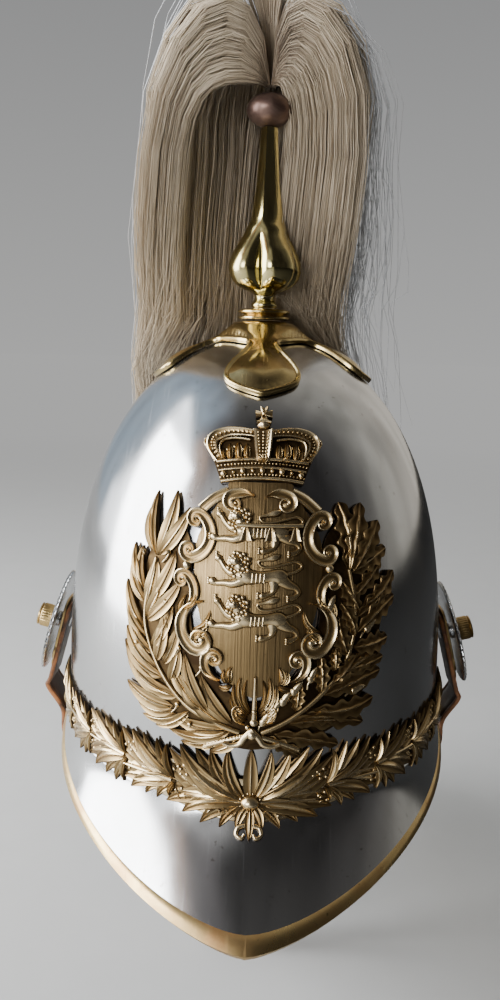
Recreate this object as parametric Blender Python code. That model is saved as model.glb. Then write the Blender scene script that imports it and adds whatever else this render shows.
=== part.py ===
"""A cavalry parade helmet with a falling plume, modelled at its real size in metres.

+X is the wearer's left as seen from the front of the helmet, -Y is the front and +Z is up.
The origin is the middle of the head opening, on the brow line where the skull meets its peaks.
"""

import math

import bmesh
import bpy
import numpy as np
from mathutils import Matrix, Vector

MM = 0.001
GAP = 0.3 * MM  # left between two pieces that touch
LAID_GAP = 0.65 * MM  # under a piece laid on a curve, so that its flats stay clear

# The skull is a drawn dome of white metal, oval in plan.
SKULL_HALF_WIDTH = 96 * MM
SKULL_HALF_LENGTH = 114 * MM
SKULL_HEIGHT = 187 * MM
SKULL_WALL = 1.0 * MM
DOME_RISE_POWER = 2.8
DOME_CLOSE_POWER = 2.1
SKULL_SIDES = 36

# The peak and the neck guard flare from the brow line to one continuous rim.
PEAK_WALL = 1.0 * MM
RIM_HALF_WIDTH = SKULL_HALF_WIDTH + 6.5 * MM
EAR_DROP = 9 * MM
EAR_TUCK = 0.042  # how much narrower the rim is where the chin strap passes it
EAR_TUCK_POWER = 16
PEAK_REACH = 43 * MM
PEAK_DROP = 40 * MM
PEAK_SIDE_POWER = 1.379
PEAK_FRONT_POWER = 1.111
PEAK_ROOT_SHARE = 0.3
GUARD_REACH = 50 * MM
GUARD_DROP = 76 * MM
GUARD_PLAN_POWER = 0.909
GUARD_DROP_POWER = 1.2
GUARD_ROOT_SHARE = 0.45

# A folded brass strip closes over the rim.
FLARE_STATIONS = 20
EDGING_METAL = 0.8 * MM
EDGING_SLACK = 0.55 * MM
EDGING_WIDTH_MIDDLE = 7 * MM
EDGING_WIDTH_EAR = 4.5 * MM

# The leaf band covers the joint at the brow.
BAND_METAL = 0.9 * MM
BAND_HEIGHT_MIDDLE = 25 * MM
BAND_HEIGHT_EAR = 19 * MM
BAND_LINE_EAR = 9 * MM
BAND_DIP = 10 * MM
BAND_DIP_SPREAD = 42 * MM
BAND_LEAF_PITCH = 25 * MM
BAND_LEAF_LENGTH = 26 * MM
BAND_LEAF_WIDTH = 7.5 * MM
BAND_LEAF_RISE = 2.2 * MM
BAND_BOSS_RADIUS = 4.2 * MM
REAR_LEAF_PITCH = 42 * MM

# The badge in front: wreath, shield and crown, each laid on the skull's curve.
BADGE_METAL = 0.9 * MM
WREATH_BOTTOM = 0.16 * SKULL_HEIGHT
WREATH_TOP = 0.652 * SKULL_HEIGHT
WREATH_HALF_WIDTH = 47 * MM
WREATH_STRIP = 7 * MM
WREATH_LEAVES = 7
LAUREL_LENGTH = 25 * MM
LAUREL_WIDTH = 9 * MM
LAUREL_RISE = 2.4 * MM
OAK_LENGTH = 25 * MM
OAK_WIDTH = 9 * MM
OAK_LOBE = 7 * MM
OAK_RISE = 2.3 * MM
SHIELD_BOTTOM = 0.257 * SKULL_HEIGHT
SHIELD_TOP = 0.695 * SKULL_HEIGHT
SHIELD_HALF_WIDTH = 29 * MM
SHIELD_CLEARANCE = 0.6 * MM
SCROLL_RADIUS = 5.2 * MM
SCROLL_RISE = 2.6 * MM
LION_LENGTH = 36 * MM
LION_PITCH = 0.099 * SKULL_HEIGHT
LION_TOP = 0.599 * SKULL_HEIGHT
LION_RISE = 2.8 * MM
CROWN_BOTTOM = 0.711 * SKULL_HEIGHT
CROWN_HEIGHT = 0.118 * SKULL_HEIGHT
CROWN_FOOT_HALF_WIDTH = 18.5 * MM
CROWN_HALF_WIDTH = 26.5 * MM
CROWN_CROSS_HEIGHT = 0.07 * SKULL_HEIGHT
CROWN_RISE = 3.4 * MM

# The plume base lies on the crown of the skull in four lobes round a cone.
BASE_METAL = 1.4 * MM
LOBE_REACH_FRONT = 74 * MM
LOBE_REACH_SIDE = 60 * MM
LOBE_HALF_WIDTH = 18 * MM
LOBE_BEAD = 1.0 * MM
LOBE_DOME = 2.0 * MM
CONE_FOOT_RADIUS = 27 * MM
CONE_TOP_RADIUS = 13.5 * MM
CONE_RISE = 7.5 * MM

# The spike and what it carries.
COLLAR_RADIUS = 13 * MM
COLLAR_HEIGHT = 5.5 * MM
SPIKE_HEIGHT = 87 * MM
SPIKE_RADIUS = 18.8 * MM
BALL_RADIUS = 11.2 * MM
BALL_HEIGHT = 15 * MM

# The plume springs from the ball, arches over and falls behind the spike.
PLUME_RISE = 56 * MM
PLUME_REACH_SIDE = 57 * MM
PLUME_REACH_BACK = 52 * MM
PLUME_END = 28 * MM
PLUME_THICKNESS = 13 * MM
PLUME_HEAD_RADIUS = 9 * MM
PLUME_SKULL_CLEARANCE = 5.5 * MM  # room for the back lobe of the plume base
LOCK_COUNT = 9
LOCK_FIRST_ANGLE = 62
LOCK_VALLEY_SHARE = 0.3
LOCK_TIP = 16 * MM
LOCK_FALL_SHARE = 0.56
LOCK_END_SHARE = 0.50

# The rosettes at the ears hold the chin strap.
ROSETTE_RADIUS = 27 * MM
ROSETTE_METAL = 1.2 * MM
ROSETTE_DISH = 2.2 * MM
ROSETTE_TEETH = 16
ROSETTE_TOOTH = 1.4 * MM
ROSETTE_HEIGHT = 35.5 * MM
ROSETTE_STANDOFF = 10 * MM
ROSETTE_TILT = 15
POST_RADIUS = 2.6 * MM
BOSS_RADIUS = 6.2 * MM
BOSS_HEIGHT = 8 * MM
STRAP_PLATE_HALF_WIDTH = 10 * MM
STRAP_PLATE_UP = 14 * MM
STRAP_PLATE_DOWN = 27 * MM
STRAP_PLATE_METAL = 1.2 * MM
STRAP_THICKNESS = 2.2 * MM
STRAP_WIDTH_EAR = 24 * MM
STRAP_WIDTH_CHIN = 16 * MM
STRAP_DEPTH = 126 * MM
STRAP_FORWARD = 24 * MM
STRAP_RIM_CLEARANCE = 1.0 * MM
HOLE_CLEARANCE = 0.4 * MM

NICKEL = ("nickel_silver", (0.70, 0.71, 0.72), 0.14, 1.0)
BRASS = ("polished_brass", (0.72, 0.56, 0.27), 0.18, 1.0)
GILT = ("struck_brass", (0.55, 0.43, 0.22), 0.34, 1.0)
BRONZE = ("dark_bronze", (0.20, 0.13, 0.10), 0.35, 0.8)
HAIR = ("horsehair", (0.62, 0.53, 0.40), 0.55, 0.0)
LEATHER = ("strap_leather", (0.07, 0.035, 0.02), 0.5, 0.0)


def clear_scene():
    for obj in list(bpy.data.objects):
        bpy.data.objects.remove(obj)


def material(finish):
    name, colour, roughness, metallic = finish
    found = bpy.data.materials.get(name)
    if found:
        return found
    made = bpy.data.materials.new(name)
    made.use_nodes = True
    shader = made.node_tree.nodes["Principled BSDF"]
    shader.inputs["Base Color"].default_value = (*colour, 1)
    shader.inputs["Roughness"].default_value = roughness
    shader.inputs["Metallic"].default_value = metallic
    return made


def add_object(name, bm, finish):
    """One named object from a bmesh, smooth where its faces meet at less than 40 degrees."""
    mesh = bpy.data.meshes.new(name)
    bm.to_mesh(mesh)
    bm.free()
    obj = bpy.data.objects.new(name, mesh)
    bpy.context.scene.collection.objects.link(obj)
    mesh.materials.append(material(finish))
    mesh.shade_smooth()
    mesh.set_sharp_from_angle(angle=math.radians(40))
    return obj


def loft(bm, sections, closed=False, folded=False):
    """Joins loops of points with quads and caps the ends: none if closed on itself, strips if folded double."""
    loops = []
    ends = []
    for section in sections:
        verts = [bm.verts.new(point) for point in section]
        count = len(verts)
        ends.append(verts)
        loops.append([bm.edges.new((verts[i], verts[(i + 1) % count])) for i in range(count)])
    pairs = list(zip(loops, loops[1:]))
    if closed:
        pairs.append((loops[-1], loops[0]))
    elif folded:
        for verts in (ends[0], ends[-1]):
            for i in range(len(verts) // 2 - 1):
                bm.faces.new((verts[i], verts[i + 1], verts[-2 - i], verts[-1 - i]))
    else:
        bmesh.ops.holes_fill(bm, edges=loops[0], sides=0)
        bmesh.ops.holes_fill(bm, edges=loops[-1], sides=0)
    for first, second in pairs:
        bmesh.ops.bridge_loops(bm, edges=first + second)
    bmesh.ops.recalc_face_normals(bm, faces=bm.faces)
    return bm


def turned(profile, sides, place):
    """Spins (radius, height) pairs that start and end on the axis, then places the body."""
    bm = bmesh.new()
    verts = [bm.verts.new((radius, 0, height)) for radius, height in profile]
    edges = [bm.edges.new(pair) for pair in zip(verts, verts[1:])]
    bmesh.ops.spin(bm, geom=verts + edges, cent=(0, 0, 0), axis=(0, 0, 1), angle=math.tau,
                   steps=sides, use_merge=True)
    bmesh.ops.remove_doubles(bm, verts=bm.verts, dist=0.001 * MM)
    bmesh.ops.recalc_face_normals(bm, faces=bm.faces)
    bmesh.ops.transform(bm, matrix=place, verts=bm.verts)
    return bm


# The surfaces that everything is laid on.

def dome_share(height):
    """How wide the skull is at a height, as a share of its width at the brow."""
    part = min(max(height / SKULL_HEIGHT, 0), 1)
    return (1 - part ** DOME_RISE_POWER) ** (1 / DOME_CLOSE_POWER)


ANGLES = np.linspace(0, math.pi, 721)
STEPS = np.hypot(np.diff(SKULL_HALF_WIDTH * np.sin(ANGLES)), np.diff(SKULL_HALF_LENGTH * np.cos(ANGLES)))
ARCS = np.concatenate([[0], np.cumsum(STEPS)])
EAR_ARC = float(np.interp(math.pi / 2, ANGLES, ARCS))
HALF_GIRTH = float(ARCS[-1])
CLIMB = [SKULL_HEIGHT * math.sin(math.pi / 2 * step / 600) for step in range(601)]
SHARES = np.array([dome_share(height) for height in CLIMB])


def meridian(radius):
    """Distance along the dome from the brow to each height in CLIMB, where the plan radius is given."""
    return np.concatenate([[0], np.cumsum(np.hypot(np.diff(CLIMB), radius * np.diff(SHARES)))])


FRONT_MERIDIAN = meridian(SKULL_HALF_LENGTH)


def skull_point(angle, height):
    share = dome_share(height)
    return Vector((SKULL_HALF_WIDTH * share * math.sin(angle), -SKULL_HALF_LENGTH * share * math.cos(angle), height))


def rim_point(angle):
    """The metal's edge below a brow point: a pointed arch in front and a deep round one behind."""
    across, along = abs(math.sin(angle)), abs(math.cos(angle))
    half_width = math.copysign(RIM_HALF_WIDTH * (1 - EAR_TUCK * across ** EAR_TUCK_POWER), math.sin(angle))
    if math.cos(angle) > 0:
        forward = along ** PEAK_FRONT_POWER
        return Vector((half_width * across ** PEAK_SIDE_POWER,
                       -(SKULL_HALF_LENGTH + PEAK_REACH) * forward,
                       -EAR_DROP - (PEAK_DROP - EAR_DROP) * forward))
    return Vector((half_width * across ** GUARD_PLAN_POWER,
                   (SKULL_HALF_LENGTH + GUARD_REACH) * along ** GUARD_PLAN_POWER,
                   -EAR_DROP - (GUARD_DROP - EAR_DROP) * along ** GUARD_DROP_POWER))


def flare_curve(angle, count=25):
    """Points down the peak or the guard from the brow line to the rim: straight down, then outwards."""
    top, rim = skull_point(angle, 0), rim_point(angle)
    share = PEAK_ROOT_SHARE if math.cos(angle) > 0 else GUARD_ROOT_SHARE
    bend = top + Vector((0, 0, share * rim.z))
    points = []
    for step in range(count):
        t = step / (count - 1)
        points.append(top * (1 - t) ** 2 + bend * (2 * t * (1 - t)) + rim * t ** 2)
    return points


def flare_length(angle):
    points = flare_curve(angle)
    return sum((b - a).length for a, b in zip(points, points[1:]))


def flare_point(angle, distance):
    """The point a given distance down the flare from the brow line."""
    points = flare_curve(angle)
    for a, b in zip(points, points[1:]):
        step = (b - a).length
        if distance <= step:
            return a.lerp(b, distance / step)
        distance -= step
    return points[-1] + (points[-1] - points[-2]).normalized() * distance


def on_front(across, up):
    """A place on the metal: across it from the middle of the front, and up it from the brow line."""
    if up < 0:
        return flare_point(math.copysign(float(np.interp(abs(across), ARCS, ANGLES)), across), -up)
    height = float(np.interp(up, FRONT_MERIDIAN, CLIMB))
    angle = float(np.interp(abs(across) / dome_share(height), ARCS, ANGLES))
    return skull_point(math.copysign(angle, across), height)


def on_top(across, back):
    """A place on the dome: distances over it from its highest point, to the side and to the back."""
    distance = math.hypot(across, back)
    side, rear = (across / distance, back / distance) if distance else (0, 1)
    radius = 1 / math.hypot(side / SKULL_HALF_WIDTH, rear / SKULL_HALF_LENGTH)
    climbed = meridian(radius)
    height = float(np.interp(climbed[-1] - distance, climbed, CLIMB))
    share = dome_share(height)
    return Vector((side * radius * share, rear * radius * share, height))


def raised(surface, first, second, lift):
    """A point at a height over one of the surfaces, along its normal."""
    step = 0.4 * MM
    point = surface(first, second)
    right = surface(first + step, second) - surface(first - step, second)
    up = surface(first, second + step) - surface(first, second - step)
    return point + right.cross(up).normalized() * lift


# Relief is drawn flat as (across, up, lift), joined, and then laid on the skull.

def flat_plate(outline, low, high, cell=None):
    """A plate with straight sides, cut into cells where it has to follow a curve."""
    bm = bmesh.new()
    bm.faces.new([bm.verts.new((x, y, low)) for x, y in outline])
    for axis in (0, 1):
        places = [point[axis] for point in outline]
        count = max(1, round((max(places) - min(places)) / cell)) if cell else 1
        normal = (1, 0, 0) if axis == 0 else (0, 1, 0)
        for step in range(1, count):
            cut = min(places) + (max(places) - min(places)) * step / count
            bmesh.ops.bisect_plane(bm, geom=bm.verts[:] + bm.edges[:] + bm.faces[:],
                                   plane_co=(cut, cut, 0), plane_no=normal, dist=0.001 * MM)
    top = bmesh.ops.extrude_face_region(bm, geom=bm.faces[:])["geom"]
    bmesh.ops.translate(bm, vec=(0, 0, high - low), verts=[v for v in top if isinstance(v, bmesh.types.BMVert)])
    bmesh.ops.recalc_face_normals(bm, faces=bm.faces)
    return bm


def add_blade(bm, start, end, half_width, foot, edge, ridge, blunt=0.0):
    """One leaf, limb or ribbon: a ridged form between two flat points, pointed or blunt at its ends."""
    start, end = Vector(start), Vector(end)
    along = end - start
    side = Vector((-along.y, along.x)).normalized() * half_width
    points = []
    for share, spread, rise in ((0, blunt, 0.3), (0.45, 1, 1), (1, blunt, 0.2)):
        middle = start + along * share
        for sign in ((-1, 1) if spread else (0,)):
            for lift in (foot, edge):
                points.append((*(middle + side * spread * sign), lift))
        if spread:
            points.append((*middle, edge + (ridge - edge) * rise))
    hull = bmesh.ops.convex_hull(bm, input=[bm.verts.new(point) for point in points])
    loose = [v for v in hull["geom_interior"] + hull["geom_unused"] if isinstance(v, bmesh.types.BMVert)]
    bmesh.ops.delete(bm, geom=list(set(loose)), context="VERTS")


def helper(name, bm):
    mesh = bpy.data.meshes.new(name)
    bm.to_mesh(mesh)
    bm.free()
    obj = bpy.data.objects.new(name, mesh)
    bpy.context.scene.collection.objects.link(obj)
    return obj


def combined(first, second, operation):
    """The Boolean of two meshes, either of which may cross itself, as a new bmesh."""
    target, tool = helper("target", first), helper("tool", second)
    boolean = target.modifiers.new("combine", "BOOLEAN")
    boolean.object = tool
    boolean.operation = operation
    boolean.solver = "EXACT"
    boolean.use_self = True
    bpy.context.view_layer.update()
    evaluated = target.evaluated_get(bpy.context.evaluated_depsgraph_get())
    bm = bmesh.new()
    bm.from_mesh(evaluated.to_mesh())
    evaluated.to_mesh_clear()
    for obj in (target, tool):
        bpy.data.meshes.remove(obj.data)
    return bm


def lay(bm, surface):
    """Bends a flat body onto a surface."""
    bmesh.ops.dissolve_degenerate(bm, edges=bm.edges, dist=0.002 * MM)
    bmesh.ops.triangulate(bm, faces=bm.faces)
    for vert in bm.verts:
        vert.co = raised(surface, vert.co.x, vert.co.y, LAID_GAP + vert.co.z)
    bmesh.ops.recalc_face_normals(bm, faces=bm.faces)
    return bm


# Skull, peaks and rim

def make_skull():
    rings = [0, 0.22, 0.40, 0.55, 0.68, 0.79, 0.88, 0.945, 0.985]
    bm = bmesh.new()
    profile = [bm.verts.new((dome_share(part * SKULL_HEIGHT), 0, part * SKULL_HEIGHT)) for part in rings]
    profile.append(bm.verts.new((0, 0, SKULL_HEIGHT)))
    edges = [bm.edges.new(pair) for pair in zip(profile, profile[1:])]
    bmesh.ops.spin(bm, geom=profile + edges, cent=(0, 0, 0), axis=(0, 0, 1), angle=math.tau,
                   steps=SKULL_SIDES, use_merge=True)
    bmesh.ops.scale(bm, vec=(SKULL_HALF_WIDTH, SKULL_HALF_LENGTH, 1), verts=bm.verts)
    bmesh.ops.remove_doubles(bm, verts=bm.verts, dist=0.001 * MM)
    bmesh.ops.recalc_face_normals(bm, faces=bm.faces)
    thicken(add_object("skull", bm, NICKEL), SKULL_WALL)


def thicken(obj, wall):
    wall_modifier = obj.modifiers.new("wall", "SOLIDIFY")
    wall_modifier.thickness = wall
    wall_modifier.offset = -1
    wall_modifier.use_even_offset = True


def flare_rows(angle, wide):
    """How far down each row of the peak lies: close together at the root, the last one as wide as the edging."""
    length = flare_length(angle)
    last = length - wide
    return [GAP] + [GAP + (last - GAP) * share for share in (0.12, 0.26, 0.42, 0.62, 1)] + [length]


def edging_width(angle):
    return EDGING_WIDTH_EAR + (EDGING_WIDTH_MIDDLE - EDGING_WIDTH_EAR) * abs(math.cos(angle))


def side_angles(middle, count):
    """Angles from ear to ear round the front (middle 0) or the back (middle pi), evenly spaced on the rim."""
    reach = math.pi / 2 - GAP / SKULL_HALF_LENGTH
    angles = np.linspace(middle - reach, middle + reach, 401)
    rim = [rim_point(angle) for angle in angles]
    lengths = np.concatenate([[0], np.cumsum([(b - a).length for a, b in zip(rim, rim[1:])])])
    return [float(np.interp(lengths[-1] * step / count, lengths, angles)) for step in range(count + 1)]


def rim_frame(angle):
    """The rim at a brow point: its place, the way inwards over the metal and the way out of its face."""
    length, wide = flare_length(angle), edging_width(angle)
    rim = flare_point(angle, length)
    inward = (flare_point(angle, length - wide - 1 * MM) - rim).normalized()
    step = 0.003
    outward = inward.cross(rim_point(angle + step) - rim_point(angle - step)).normalized()
    return rim, inward, outward if outward.dot(Vector((rim.x, rim.y, RIM_HALF_WIDTH))) > 0 else -outward


def make_flare(name, middle):
    sections = []
    for angle in side_angles(middle, FLARE_STATIONS):
        outer = [flare_point(angle, row) for row in flare_rows(angle, edging_width(angle) + 1 * MM)]
        out = rim_frame(angle)[2]
        inner = []
        for row, point in enumerate(outer):
            normal = out
            if row < len(outer) - 2:
                along = outer[row + 1] - outer[max(row - 1, 0)]
                step = 0.003
                beside = skull_point(angle + step, 0) - skull_point(angle - step, 0)
                normal = along.cross(beside).normalized()
                normal = normal if normal.dot(out) > 0 else -normal
            inner.append(point - normal * PEAK_WALL)
        sections.append(outer + list(reversed(inner)))
    add_object(name, loft(bmesh.new(), sections), NICKEL)


def make_edging(name, middle):
    """A channel of brass with one lip over the metal and one under it."""
    top, under = EDGING_SLACK, -PEAK_WALL - EDGING_SLACK
    sections = []
    for angle in side_angles(middle, FLARE_STATIONS):
        wide = edging_width(angle)
        rim, inward, outward = rim_frame(angle)
        outline = ((wide, top), (-EDGING_SLACK, top), (-EDGING_SLACK, under), (wide, under),
                   (wide, under - EDGING_METAL), (-EDGING_SLACK - EDGING_METAL, under - EDGING_METAL),
                   (-EDGING_SLACK - EDGING_METAL, top + EDGING_METAL), (wide, top + EDGING_METAL))
        sections.append([rim + inward * x + outward * y for x, y in outline])
    add_object(name, loft(bmesh.new(), sections), BRASS)


# The leaf bands

def band_line(across):
    """The middle of the band: level round the head, dipping to a point in front."""
    return BAND_LINE_EAR - BAND_DIP * math.exp(-((across / BAND_DIP_SPREAD) ** 2))


def band_half_height(across):
    share = math.exp(-((across / (2 * BAND_DIP_SPREAD)) ** 2))
    return (BAND_HEIGHT_EAR + (BAND_HEIGHT_MIDDLE - BAND_HEIGHT_EAR) * share) / 2


def band_strip(first, last, line, half_height):
    count = 16
    places = [first + (last - first) * step / count for step in range(count + 1)]
    lower = [(x, line(x) - half_height(x)) for x in places]
    upper = [(x, line(x) + half_height(x)) for x in reversed(places)]
    return lower + upper


def make_front_band():
    end = EAR_ARC - GAP
    narrow = 0.62
    outline = band_strip(-end, end, band_line, lambda x: narrow * band_half_height(x))
    plate = flat_plate(outline, 0, BAND_METAL, 13 * MM)
    leaves = bmesh.new()
    pairs = int((end - BAND_LEAF_LENGTH) / BAND_LEAF_PITCH)
    for side in (-1, 1):
        for step in range(pairs + 1):
            near = 4 * MM + BAND_LEAF_PITCH * step
            far = near + BAND_LEAF_LENGTH
            for turn, sway in ((1, 0), (-1, 1)):
                foot = BAND_METAL * (0.30 + 0.06 * ((step + sway) % 4))
                rise = BAND_METAL + BAND_LEAF_RISE
                start = (side * near, band_line(near) + turn * 1.0 * MM)
                tip = (side * (far - 3 * MM), band_line(far) + turn * (band_half_height(far) - 1 * MM))
                add_blade(leaves, start, tip, BAND_LEAF_WIDTH / 2, foot, BAND_METAL + 0.5 * MM, rise)
    for turn, reach in ((1, 0.9), (-1, 1.15)):
        tip = (0, band_line(0) + turn * reach * band_half_height(0))
        add_blade(leaves, (0, band_line(0)), tip, BAND_LEAF_WIDTH / 2, BAND_METAL * 0.5,
                  BAND_METAL + 0.6 * MM, BAND_METAL + BAND_LEAF_RISE)
    radius = BAND_BOSS_RADIUS
    add_blade(leaves, (-radius, band_line(0)), (radius, band_line(0)), radius, BAND_METAL * 0.2,
              BAND_METAL + BAND_LEAF_RISE, BAND_METAL + BAND_LEAF_RISE + radius, blunt=0.4)
    add_object("front_band", lay(combined(plate, leaves, "UNION"), on_front), GILT)


def make_rear_band():
    """The same band carried round the back, where its line stays level."""
    start, end = EAR_ARC + GAP, HALF_GIRTH
    half = BAND_HEIGHT_EAR / 2

    def behind(across, up):
        """The surface seen from behind, measured from the middle of the back."""
        place = math.copysign(HALF_GIRTH - abs(across), -across if across else 1)
        return on_front(place, up)

    reach = end - start
    outline = band_strip(-reach, reach, lambda x: BAND_LINE_EAR, lambda x: 0.62 * half)
    plate = flat_plate(outline, 0, BAND_METAL, 13 * MM)
    leaves = bmesh.new()
    pairs = int((reach - BAND_LEAF_LENGTH) / REAR_LEAF_PITCH)
    for side in (-1, 1):
        for step in range(pairs + 1):
            near = 4 * MM + REAR_LEAF_PITCH * step
            for turn, sway in ((1, 0), (-1, 1)):
                foot = BAND_METAL * (0.30 + 0.06 * ((step + sway) % 4))
                tip = (side * (near + BAND_LEAF_LENGTH - 3 * MM), BAND_LINE_EAR + turn * (half - 1 * MM))
                add_blade(leaves, (side * near, BAND_LINE_EAR + turn * 1 * MM), tip, BAND_LEAF_WIDTH / 2, foot,
                          BAND_METAL + 0.5 * MM, BAND_METAL + BAND_LEAF_RISE)
    add_object("rear_band", lay(combined(plate, leaves, "UNION"), behind), GILT)


# The badge

def wreath_line(share):
    """The stem of a branch, from the tie at the bottom to its tip beside the crown."""
    turn = math.radians(-90 + 148 * share)
    middle = (WREATH_TOP + WREATH_BOTTOM) / 2
    half = (WREATH_TOP - WREATH_BOTTOM) / 2
    return Vector((WREATH_HALF_WIDTH * math.cos(turn), middle + half * math.sin(turn)))


def shield_outline(grow=0.0):
    """A bowed shield: (half-width share, height share) of each station, up one side and down the other."""
    stations = ((0.16, 0.0), (0.62, 0.08), (0.95, 0.30), (0.98, 0.58), (0.88, 0.84), (0.30, 1.0))
    tall = SHIELD_TOP - SHIELD_BOTTOM
    right = [(SHIELD_HALF_WIDTH * x + grow, SHIELD_BOTTOM - grow + (tall + 2 * grow) * y) for x, y in stations]
    return right + [(-x, y) for x, y in reversed(right)]


def make_wreath():
    stem_points = [wreath_line(step / 8) for step in range(9)]
    outline = []
    for side, points in ((1, stem_points), (-1, list(reversed(stem_points)))):
        outline += [(side * (point.x + WREATH_STRIP / 2), point.y) for point in points if point.x > WREATH_STRIP]
    centre = Vector((0, (WREATH_TOP + WREATH_BOTTOM) / 2))
    inner = []
    for x, y in outline:
        inward = (centre - Vector((x, y))).normalized() * WREATH_STRIP
        inner.append((x + inward.x, y + inward.y))
    plate = flat_plate(outline + list(reversed(inner)), 0, BADGE_METAL, 12 * MM)
    leaves = bmesh.new()
    for step in range(WREATH_LEAVES):
        share = 0.05 + 0.9 * step / (WREATH_LEAVES - 1)
        stem, ahead = wreath_line(share), wreath_line(share + 0.02)
        run = (ahead - stem).normalized()
        out = Vector((run.y, -run.x))
        for turn, spread in ((1, 0.62), (-1, 0.42)):
            foot = BADGE_METAL * (0.25 + 0.07 * (step % 4) + (0.03 if turn > 0 else 0))
            way = (run + out * spread * turn).normalized()
            root = stem - way * (1.6 * MM if turn > 0 else 2.1 * MM)
            left = root + way * LAUREL_LENGTH * (1 if turn > 0 else 0.72)
            add_blade(leaves, (-root.x, root.y), (-left.x, left.y), LAUREL_WIDTH / 2, foot,
                      BADGE_METAL + 0.5 * MM, BADGE_METAL + LAUREL_RISE)
            tip = root + way * OAK_LENGTH * (0.92 if turn > 0 else 0.62)
            add_blade(leaves, root, tip, OAK_WIDTH / 2, foot, BADGE_METAL + 0.5 * MM,
                      BADGE_METAL + OAK_RISE, blunt=0.3 if turn > 0 else 0)
            if turn > 0 and step % 2:
                across = Vector((-way.y, way.x)) * OAK_LOBE
                waist = root.lerp(tip, 0.55)
                add_blade(leaves, waist - across, waist + across, OAK_WIDTH / 3, foot + 0.02 * MM,
                          BADGE_METAL + 0.4 * MM, BADGE_METAL + OAK_RISE * 0.8)
    low = WREATH_BOTTOM - WREATH_STRIP / 2
    for side in (-1, 1):
        add_blade(leaves, (side * 17 * MM, low), (-side * 2 * MM, low + 2 * MM), 5.5 * MM, BADGE_METAL * 0.3,
                  BADGE_METAL + 0.8 * MM, BADGE_METAL + LAUREL_RISE * (1 if side > 0 else 0.9), blunt=0.4)
    whole = combined(plate, leaves, "UNION")
    cutter = flat_plate(shield_outline(SHIELD_CLEARANCE), -2 * MM, 8 * MM)
    add_object("wreath", lay(combined(whole, cutter, "DIFFERENCE"), on_front), GILT)


LION_LIMBS = (  # start along, start down, end along, end down, half-width, rise, foot share, blunt: in lion lengths
    (0.222, 0.206, 0.806, 0.178, 0.083, 0.95, 0.45, 0.6),  # trunk
    (0.239, 0.011, 0.211, 0.267, 0.100, 1.20, 0.40, 0.4),  # head and mane
    (0.306, 0.211, -0.028, 0.317, 0.047, 0.75, 0.50, 0.0),  # raised foreleg
    (0.417, 0.208, 0.350, 0.372, 0.056, 0.70, 0.30, 0.0),  # standing foreleg
    (0.722, 0.153, 0.961, 0.356, 0.061, 0.80, 0.38, 0.0),  # far hind leg
    (0.694, 0.194, 0.628, 0.372, 0.056, 0.60, 0.33, 0.0),  # near hind leg
    (0.750, 0.150, 0.961, 0.044, 0.033, 0.55, 0.36, 0.0),  # tail
)


def add_lion(bm, nose, top):
    """A heraldic lion walking to the left."""
    for start_along, start_down, end_along, end_down, half_width, rise, foot, blunt in LION_LIMBS:
        start = (nose + start_along * LION_LENGTH, top - start_down * LION_LENGTH)
        end = (nose + end_along * LION_LENGTH, top - end_down * LION_LENGTH)
        add_blade(bm, start, end, half_width * LION_LENGTH, BADGE_METAL * foot, BADGE_METAL + 0.4 * MM,
                  BADGE_METAL + LION_RISE * rise, blunt)


def make_shield():
    plate = flat_plate(shield_outline(), 0, BADGE_METAL, 12 * MM)
    relief = bmesh.new()
    edge = shield_outline(-SCROLL_RADIUS * 0.45)
    for i, (a, b) in enumerate(zip(edge, edge[1:] + edge[:1])):
        a, b = Vector(a), Vector(b)
        past = (b - a).normalized() * SCROLL_RADIUS * (0.2 + 0.03 * (i % 4))
        add_blade(relief, a - past, b + past, SCROLL_RADIUS * 0.4, BADGE_METAL * (0.2 + 0.05 * (i % 3)), BADGE_METAL + 0.5 * MM,
                  BADGE_METAL + SCROLL_RISE * 0.7)
    for row in range(3):
        add_lion(relief, -LION_LENGTH / 2, LION_TOP - LION_PITCH * row)
    add_object("shield", lay(combined(plate, relief, "UNION"), on_front), GILT)


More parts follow.
